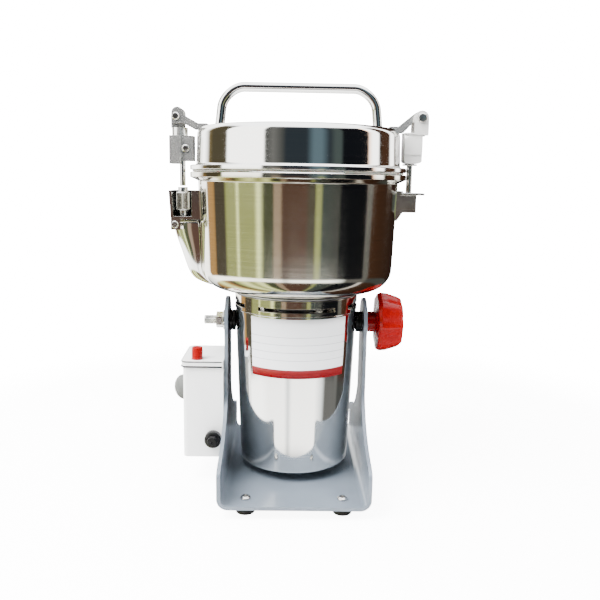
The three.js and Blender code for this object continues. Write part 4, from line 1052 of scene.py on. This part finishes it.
def clamp_screw():
    """The cross-head screw in the front of the clamp's head."""
    radius, face = 3.2, 6.5
    top = face + 1.5
    at = (-94.1 * MM, 0, 288.2 * MM)
    head = turned("clamp_screw_head", in_mm([
        (0, face, 0), (radius, face, 0), (radius, face + 0.9, 0.5), (radius - 1.2, top, 0.6), (0, top, 0),
    ]), MID_STEPS, at, "-Y")
    cutters = []
    for turn in (20, 110):
        work = bmesh.new()
        bmesh.ops.create_cube(work, size=1)
        bmesh.ops.scale(work, vec=(3.6 * MM, 1.6 * MM, 0.8 * MM), verts=work.verts)
        bmesh.ops.rotate(work, matrix=Matrix.Rotation(math.radians(turn), 3, "Y"), verts=work.verts)
        bmesh.ops.translate(work, vec=(at[0], -top * MM, at[2]), verts=work.verts)
        cutters.append(made_piece("cross_slot", work))
        cut = head.modifiers.new("cross", "BOOLEAN")
        cut.operation = "DIFFERENCE"
        cut.solver = "EXACT"
        cut.object = cutters[-1]
    head.data = settled(head)
    head.modifiers.clear()
    for cutter in cutters:
        bpy.data.objects.remove(cutter)
    head.data.set_sharp_from_angle(angle=math.radians(SHARP_ANGLE))
    dress(head, slot="fastener_steel", body=BODY_OF["latch_block"])


# Pivots


def pivots():
    at = (0, 0, PIVOT_HEIGHT)
    for node, name, pointing in (("pivot_bolt", "left_pivot_bolt", "-X"),
                                 ("tilt_stud", "right_tilt_stud", "+X")):
        inner, outer = reach_of(node)
        head = turned(name + "_head", in_mm([
            (0, inner, 0), (7.5, inner, 0.5), (7.5, inner + 4.5, 0.5), (0, inner + 4.5, 0),
        ]), MID_STEPS, at, pointing)
        bar = threaded_bar(name + "_bar", 4 * MM, (inner + 2) * MM, outer * MM, at, pointing)
        dress(joined(name, head, bar), node)
    softened("left_pivot_nut", "pivot_nut", 0.4 * MM)
    for side, pointing in (("left", "-X"), ("right", "+X")):
        node = "pivot_spacer_" + side
        near, far = reach_of(node)
        groove = (near + far) / 2
        lathed(node, f"spacer_{side}_ring", [
            (4.35, near, 0.2), (9, near, 0.5), (9, groove - 0.3, 0.3), (8.2, groove, 0.3),
            (9, groove + 0.3, 0.3), (9, far, 0.5), (4.35, far, 0.2),
        ], MID_STEPS, at, pointing)


def lock_knob():
    """The lobed red knob: a hub, a dished back and a rounded front."""
    lobes = sizes().knob_lobes

    def lobed(radius, height, angle):
        depth = 0.035 * min(1, max(0, (radius / MM - 10) / 8))
        return radius * (1 + depth * math.cos(lobes * angle))

    lathed("tilt_knob", "lock_knob_red", [
        (4.35, 61.4, 0.3), (9, 61.4, 0.7), (9, 69.2, 1.0), (17.5, 71.2, 2), (22, 70.5, 0.6),
        (23.6, 70.6, 0.9), (25.1, 73.6, 1.6), (24.6, 79, 6), (21.9, 88, 5), (19.9, 92, 2.4), (14, 92, 1.2),
        (12.5, 91.4, 1.2), (0, 91.4, 0), (0, 80.3, 0), (4.35, 80.3, 0),
    ], lobes * 24, (0, 0, PIVOT_HEIGHT), "+X", lobed)


def blades():
    for node in ("blade_lower", "blade_upper"):
        softened(node + "_ground", node, 0.35 * MM)
    softened("blade_stack_nut", "blade_nut", 0.5 * MM)


def inner_works():
    """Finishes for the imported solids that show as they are."""
    for node, solid in frame["nodes"].items():
        if solid.hide_render:
            continue
        solid.data.materials.clear()
        solid.data.materials.append(finish_for(SLOT_OF[node]))


# Stage


def pale_floor():
    """A round pale floor that fades out at its rim."""
    reach = sizes().floor_reach
    look = Finish("pale_floor", Emission_Color=(1, 1, 1, 1))
    look.tinted(look.noise(9, detail=2), (0.93, 0.93, 0.93), 0.985)
    look.rough(look.noise(30, detail=2), 0.5, 0.6)
    distance = look.node("ShaderNodeVectorMath", operation="LENGTH")
    look.link(look.place, distance.inputs[0])
    look.lead(look.spread(distance.outputs["Value"], 1, 0, reach * 0.55, reach * 0.98), "Alpha")
    look.lead(look.spread(look.ray("Camera"), 0, SEEN_FLOOR_GLOW, 0, 1), "Emission Strength")
    bpy.ops.mesh.primitive_circle_add(vertices=96, radius=reach, fill_type="NGON", location=(0, 0, -0.2 * MM))
    floor = bpy.context.object
    floor.name = "pale_floor"
    floor.data.materials.append(look.material)
    floor.visible_glossy = False


def soft_light(name, place, aim, side, power):
    light = bpy.data.lights.new(name, "AREA")
    light.shape = "RECTANGLE"
    light.size, light.size_y = side
    light.energy = power
    lamp = placed(name, light)
    lamp.visible_glossy = False
    lamp.location = place
    lamp.rotation_euler = (Vector(aim) - Vector(place)).to_track_quat("-Z", "Y").to_euler()


# How bright the room's white is, how much of it lights rough surfaces, how bright the plain backdrop
# and the floor look to the camera, and the room's floor and ceiling straight below and above
ROOM_WHITE = 5
DIFFUSE_SHARE = 0.35
BACKDROP_WHITE = 20
SEEN_FLOOR_GLOW = 9
UNDER_FLOOR, CEILING = (1, 1, 0.97, 1), (0.95, 0.97, 1.0, 1)

# The tones of the room's walls
WHITE, MILK, PEACH = (5, 5, 4.9), (4.2, 4.2, 4.1), (3.6, 2.5, 1.9)
PALE, MIST, CREAM = (2.2, 2.4, 1.1), (1.9, 2.0, 2.0), (1.3, 1.25, 1.2)
TAN, STRAW, ROSE = (0.80, 0.46, 0.17), (0.60, 0.66, 0.25), (0.60, 0.45, 0.32)
GOLD, SLATE, SKY = (0.24, 0.18, 0.075), (0.20, 0.20, 0.19), (0.14, 0.21, 0.25)
RUST, UMBER, FERN = (0.14, 0.08, 0.058), (0.12, 0.105, 0.075), (0.11, 0.125, 0.07)
OLIVE, SHADE, MOSS = (0.10, 0.085, 0.05), (0.085, 0.09, 0.085), (0.085, 0.11, 0.105)
BROWN, NIGHT, PITCH = (0.08, 0.037, 0.020), (0.033, 0.042, 0.052), (0.008, 0.009, 0.012)

# The walls met going from behind the grinder by the left to the front and on, by degrees, at eye level
# and then lower and lower
ROOM = (
    (-180, PITCH), (-169, PITCH), (-166, WHITE), (-128, WHITE), (-116, GOLD), (-109, OLIVE), (-86, OLIVE),
    (-84, WHITE), (-39, WHITE), (-37, SHADE), (-28, SLATE), (-18, SHADE), (-14, NIGHT), (8, NIGHT), (16, SKY),
    (24, SKY), (33, NIGHT), (40, MOSS), (46, MOSS), (49, PITCH), (81, PITCH), (83, PEACH), (88, WHITE),
    (97, WHITE), (99, PITCH), (104, BROWN), (119, BROWN), (122, WHITE), (130, WHITE), (133, BROWN),
    (169, PITCH),
)
LOW_ROOM = (
    (-180, PITCH), (-168, PITCH), (-165, WHITE), (-128, WHITE), (-125, TAN), (-112, TAN), (-108, UMBER),
    (-92, UMBER), (-88, STRAW), (-75, STRAW), (-72, PALE), (-69, STRAW), (-50, STRAW), (-45, PALE),
    (-39, FERN), (-28, FERN), (-27, ROSE), (-19, ROSE), (-18, RUST), (10, RUST), (11, UMBER), (19, UMBER),
    (20, STRAW), (25, STRAW),
    (27, MOSS), (47, SHADE), (49, PITCH), (83, PITCH), (84.5, SLATE), (91, SLATE), (94, BROWN), (180, PITCH),
)
FLOOR_ROOM = (
    (-180, SHADE), (-158, SHADE), (-148, MIST), (-120, WHITE), (-70, WHITE), (-55, MILK), (-22, MILK),
    (-14, MIST), (-6, MILK), (40, MILK), (54, MIST), (62, SLATE), (91, SLATE), (96, SHADE),
)
DEEP_ROOM = (
    (-180, PITCH), (-155, BROWN), (-140, TAN), (-122, PALE), (-106, TAN), (-95, UMBER), (-88, STRAW),
    (-72, PALE), (-60, STRAW), (-47, PALE), (-40, FERN), (-28, FERN), (-27, ROSE), (-19, ROSE), (-18, RUST),
    (10, RUST), (19, UMBER), (22, STRAW), (27, MOSS), (47, SHADE), (49, PITCH), (83, PITCH), (86, CREAM),
    (91, CREAM), (94, BROWN), (180, PITCH),
)


def surroundings():
    """Soft room light with broad upright bands, and plain white behind what the camera sees."""
    world = bpy.data.worlds.new("soft room")
    bpy.context.scene.world = world
    world.use_nodes = True
    world.node_tree.nodes.clear()
    air = Nodes(world.node_tree)

    def banded(tones):
        return air.ramp(share, [((degrees + 180) / 360, [part / ROOM_WHITE for part in colour])
                                for degrees, colour in tones])

    def blended(first, second, from_height, to_height):
        """One colour below, the other above, with a soft change between two heights."""
        rise = air.spread(split.outputs["Z"], 0, 1, from_height, to_height, interpolation_type="SMOOTHSTEP")
        mixed = air.node("ShaderNodeMix", data_type="RGBA")
        air.link(rise, mixed.inputs[0])
        for socket, colour in ((mixed.inputs[6], first), (mixed.inputs[7], second)):
            if isinstance(colour, tuple):
                socket.default_value = colour
            else:
                air.link(colour, socket)
        return mixed.outputs[2]

    split = air.node("ShaderNodeSeparateXYZ")
    air.link(air.node("ShaderNodeTexCoord").outputs["Generated"], split.inputs["Vector"])
    turn_back = air.node("ShaderNodeMath", operation="MULTIPLY")
    turn_back.inputs[1].default_value = -1
    air.link(split.outputs["Y"], turn_back.inputs[0])
    heading = air.node("ShaderNodeMath", operation="ARCTAN2")
    air.link(split.outputs["X"], heading.inputs[0])
    air.link(turn_back.outputs[0], heading.inputs[1])
    share = air.spread(heading.outputs[0], 0, 1, -math.pi, math.pi)
    tone = blended(UNDER_FLOOR, banded(DEEP_ROOM), -0.998, -0.985)
    for second, from_height, to_height in (
            (banded(FLOOR_ROOM), -0.53, -0.48), (banded(LOW_ROOM), -0.33, -0.30), (banded(ROOM), -0.05, 0.01),
            (CEILING, 0.62, 0.80)):
        tone = blended(tone, second, from_height, to_height)
    room, backdrop = air.node("ShaderNodeBackground"), air.node("ShaderNodeBackground")
    air.link(tone, room.inputs["Color"])
    strength = air.spread(air.ray("Diffuse"), ROOM_WHITE, ROOM_WHITE * DIFFUSE_SHARE, 0, 1)
    air.link(strength, room.inputs["Strength"])
    backdrop.inputs["Color"].default_value = (1, 1, 1, 1)
    backdrop.inputs["Strength"].default_value = BACKDROP_WHITE
    mix = air.node("ShaderNodeMixShader")
    for output, i in ((air.ray("Camera"), 0), (room.outputs[0], 1), (backdrop.outputs[0], 2)):
        air.link(output, mix.inputs[i])
    air.link(mix.outputs[0], air.node("ShaderNodeOutputWorld").inputs["Surface"])


def photo_camera():
    """A camera at the photograph's viewing angle: place, turn, dip and a slight roll."""
    lens_pixels = 686.4
    place = Vector((-7.2, -591.4, 264.5)) * MM
    turn, dip, roll = math.radians(1.03), math.radians(9.99), math.radians(1.0)
    ahead = Vector((math.sin(turn), math.cos(turn), 0))
    right = Vector((math.cos(turn), -math.sin(turn), 0))
    up = ahead * math.sin(dip) + Vector((0, 0, 1)) * math.cos(dip)
    forward = ahead * math.cos(dip) - Vector((0, 0, 1)) * math.sin(dip)
    right, up = right * math.cos(roll) + up * math.sin(roll), up * math.cos(roll) - right * math.sin(roll)
    lens = bpy.data.cameras.new("photo_camera")
    lens.sensor_width = 36
    lens.lens = lens_pixels * lens.sensor_width / PHOTO_SIDE
    lens.clip_start = 10 * MM
    camera = placed("photo_camera", lens)
    camera.matrix_world = Matrix.Translation(place) @ Matrix((right, up, -forward)).transposed().to_4x4()
    bpy.context.scene.camera = camera


def stage():
    pale_floor()
    surroundings()
    soft_light("key", (-0.7, -0.5, 1.2), (0, 0, 0.15), (0.9, 0.9), 80)
    soft_light("fill", (0.9, -0.3, 0.7), (0, 0, 0.15), (0.7, 0.9), 14)
    soft_light("top", (0, 0.1, 1.5), (0, 0, 0), (1.2, 1.2), 30)
    photo_camera()


# Operators, one for each piece or group of like pieces


class BuildStep:
    """What all the steps share: run the named makers, in order."""
    bl_options = {"REGISTER", "UNDO"}
    makers = ()

    def execute(self, context):
        for maker in self.makers:
            maker()
        return {"FINISHED"}


class GRINDER_OT_stand(BuildStep, Operator):
    """Makes the bent sheet stand"""
    bl_idname = "grinder.stand"
    bl_label = "Stand"
    makers = (lambda: dress(stand_sheet(), "stand_frame"),)


class GRINDER_OT_feet(BuildStep, Operator):
    """Makes the rubber feet and their screws"""
    bl_idname = "grinder.feet"
    bl_label = "Feet"
    makers = (feet,)


class GRINDER_OT_control_box(BuildStep, Operator):
    """Makes the control box, its cover and the painted shadow lines at the cover's edges"""
    bl_idname = "grinder.control_box"
    bl_label = "Control Box"
    makers = (control_box,)


class GRINDER_OT_controls(BuildStep, Operator):
    """Makes the timer knob, push button, fuse plug and gland"""
    bl_idname = "grinder.controls"
    bl_label = "Controls"
    makers = (timer_dial, push_button, fuse_plug, gland)


class GRINDER_OT_motor_can(BuildStep, Operator):
    """Makes the motor can"""
    bl_idname = "grinder.motor_can"
    bl_label = "Motor Can"
    makers = (motor_can,)


class GRINDER_OT_vent_band(BuildStep, Operator):
    """Makes the slotted band and the end frame over it"""
    bl_idname = "grinder.vent_band"
    bl_label = "Vent Band"
    makers = (vent_band, end_frame)


class GRINDER_OT_label(BuildStep, Operator):
    """Makes the label round the can"""
    bl_idname = "grinder.label"
    bl_label = "Label"
    makers = (label,)


class GRINDER_OT_bowl(BuildStep, Operator):
    """Makes the grinding bowl"""
    bl_idname = "grinder.bowl"
    bl_label = "Bowl"
    makers = (bowl,)


class GRINDER_OT_lid(BuildStep, Operator):
    """Makes the lid and its bar handle"""
    bl_idname = "grinder.lid"
    bl_label = "Lid"
    makers = (lid_cover, handle_bar)


class GRINDER_OT_hinge(BuildStep, Operator):
    """Makes the lid's hinge"""
    bl_idname = "grinder.hinge"
    bl_label = "Hinge"
    makers = (hinge,)


class GRINDER_OT_clamp(BuildStep, Operator):
    """Makes the clamp with its rod, nut, screw and lever"""
    bl_idname = "grinder.clamp"
    bl_label = "Clamp"
    makers = (clamp, knurled_nut, clamp_screw)


class GRINDER_OT_pivots(BuildStep, Operator):
    """Makes the pivots and the lock knob"""
    bl_idname = "grinder.pivots"
    bl_label = "Pivots"
    makers = (pivots, lock_knob)


class GRINDER_OT_blades(BuildStep, Operator):
    """Makes the blades and their nut"""
    bl_idname = "grinder.blades"
    bl_label = "Blades"
    makers = (blades,)


class GRINDER_OT_inner_works(BuildStep, Operator):
    """Gives the pieces that show as they are their finishes"""
    bl_idname = "grinder.inner_works"
    bl_label = "Inner Works"
    makers = (inner_works,)


class GRINDER_OT_stage(BuildStep, Operator):
    """Makes the floor, the light and the camera"""
    bl_idname = "grinder.stage"
    bl_label = "Stage"
    makers = (stage,)


STEPS = (
    GRINDER_OT_stand, GRINDER_OT_feet, GRINDER_OT_control_box, GRINDER_OT_controls, GRINDER_OT_motor_can,
    GRINDER_OT_vent_band, GRINDER_OT_label, GRINDER_OT_bowl, GRINDER_OT_lid, GRINDER_OT_hinge,
    GRINDER_OT_clamp, GRINDER_OT_pivots, GRINDER_OT_blades, GRINDER_OT_inner_works, GRINDER_OT_stage,
)


class GRINDER_PT_panel(Panel):
    """Lists the sizes, the colours and the steps"""
    bl_label = "Spice Grinder"
    bl_space_type = "VIEW_3D"
    bl_region_type = "UI"
    bl_category = "Grinder"

    def draw(self, context):
        for group in (context.scene.grinder_sizes, context.scene.grinder_colours):
            box = self.layout.box()
            for key in group.__annotations__:
                box.prop(group, key)
        for step in STEPS:
            self.layout.operator(step.bl_idname)


CLASSES = (GrinderSizes, GrinderColours, *STEPS, GRINDER_PT_panel)


def register():
    for item in CLASSES:
        bpy.utils.register_class(item)
    bpy.types.Scene.grinder_sizes = PointerProperty(type=GrinderSizes)
    bpy.types.Scene.grinder_colours = PointerProperty(type=GrinderColours)


def unregister():
    del bpy.types.Scene.grinder_colours
    del bpy.types.Scene.grinder_sizes
    for item in reversed(CLASSES):
        bpy.utils.unregister_class(item)


def main():
    register()
    for step in STEPS:
        group, name = step.bl_idname.split(".")
        getattr(getattr(bpy.ops, group), name)()


if __name__ == "__main__":
    main()
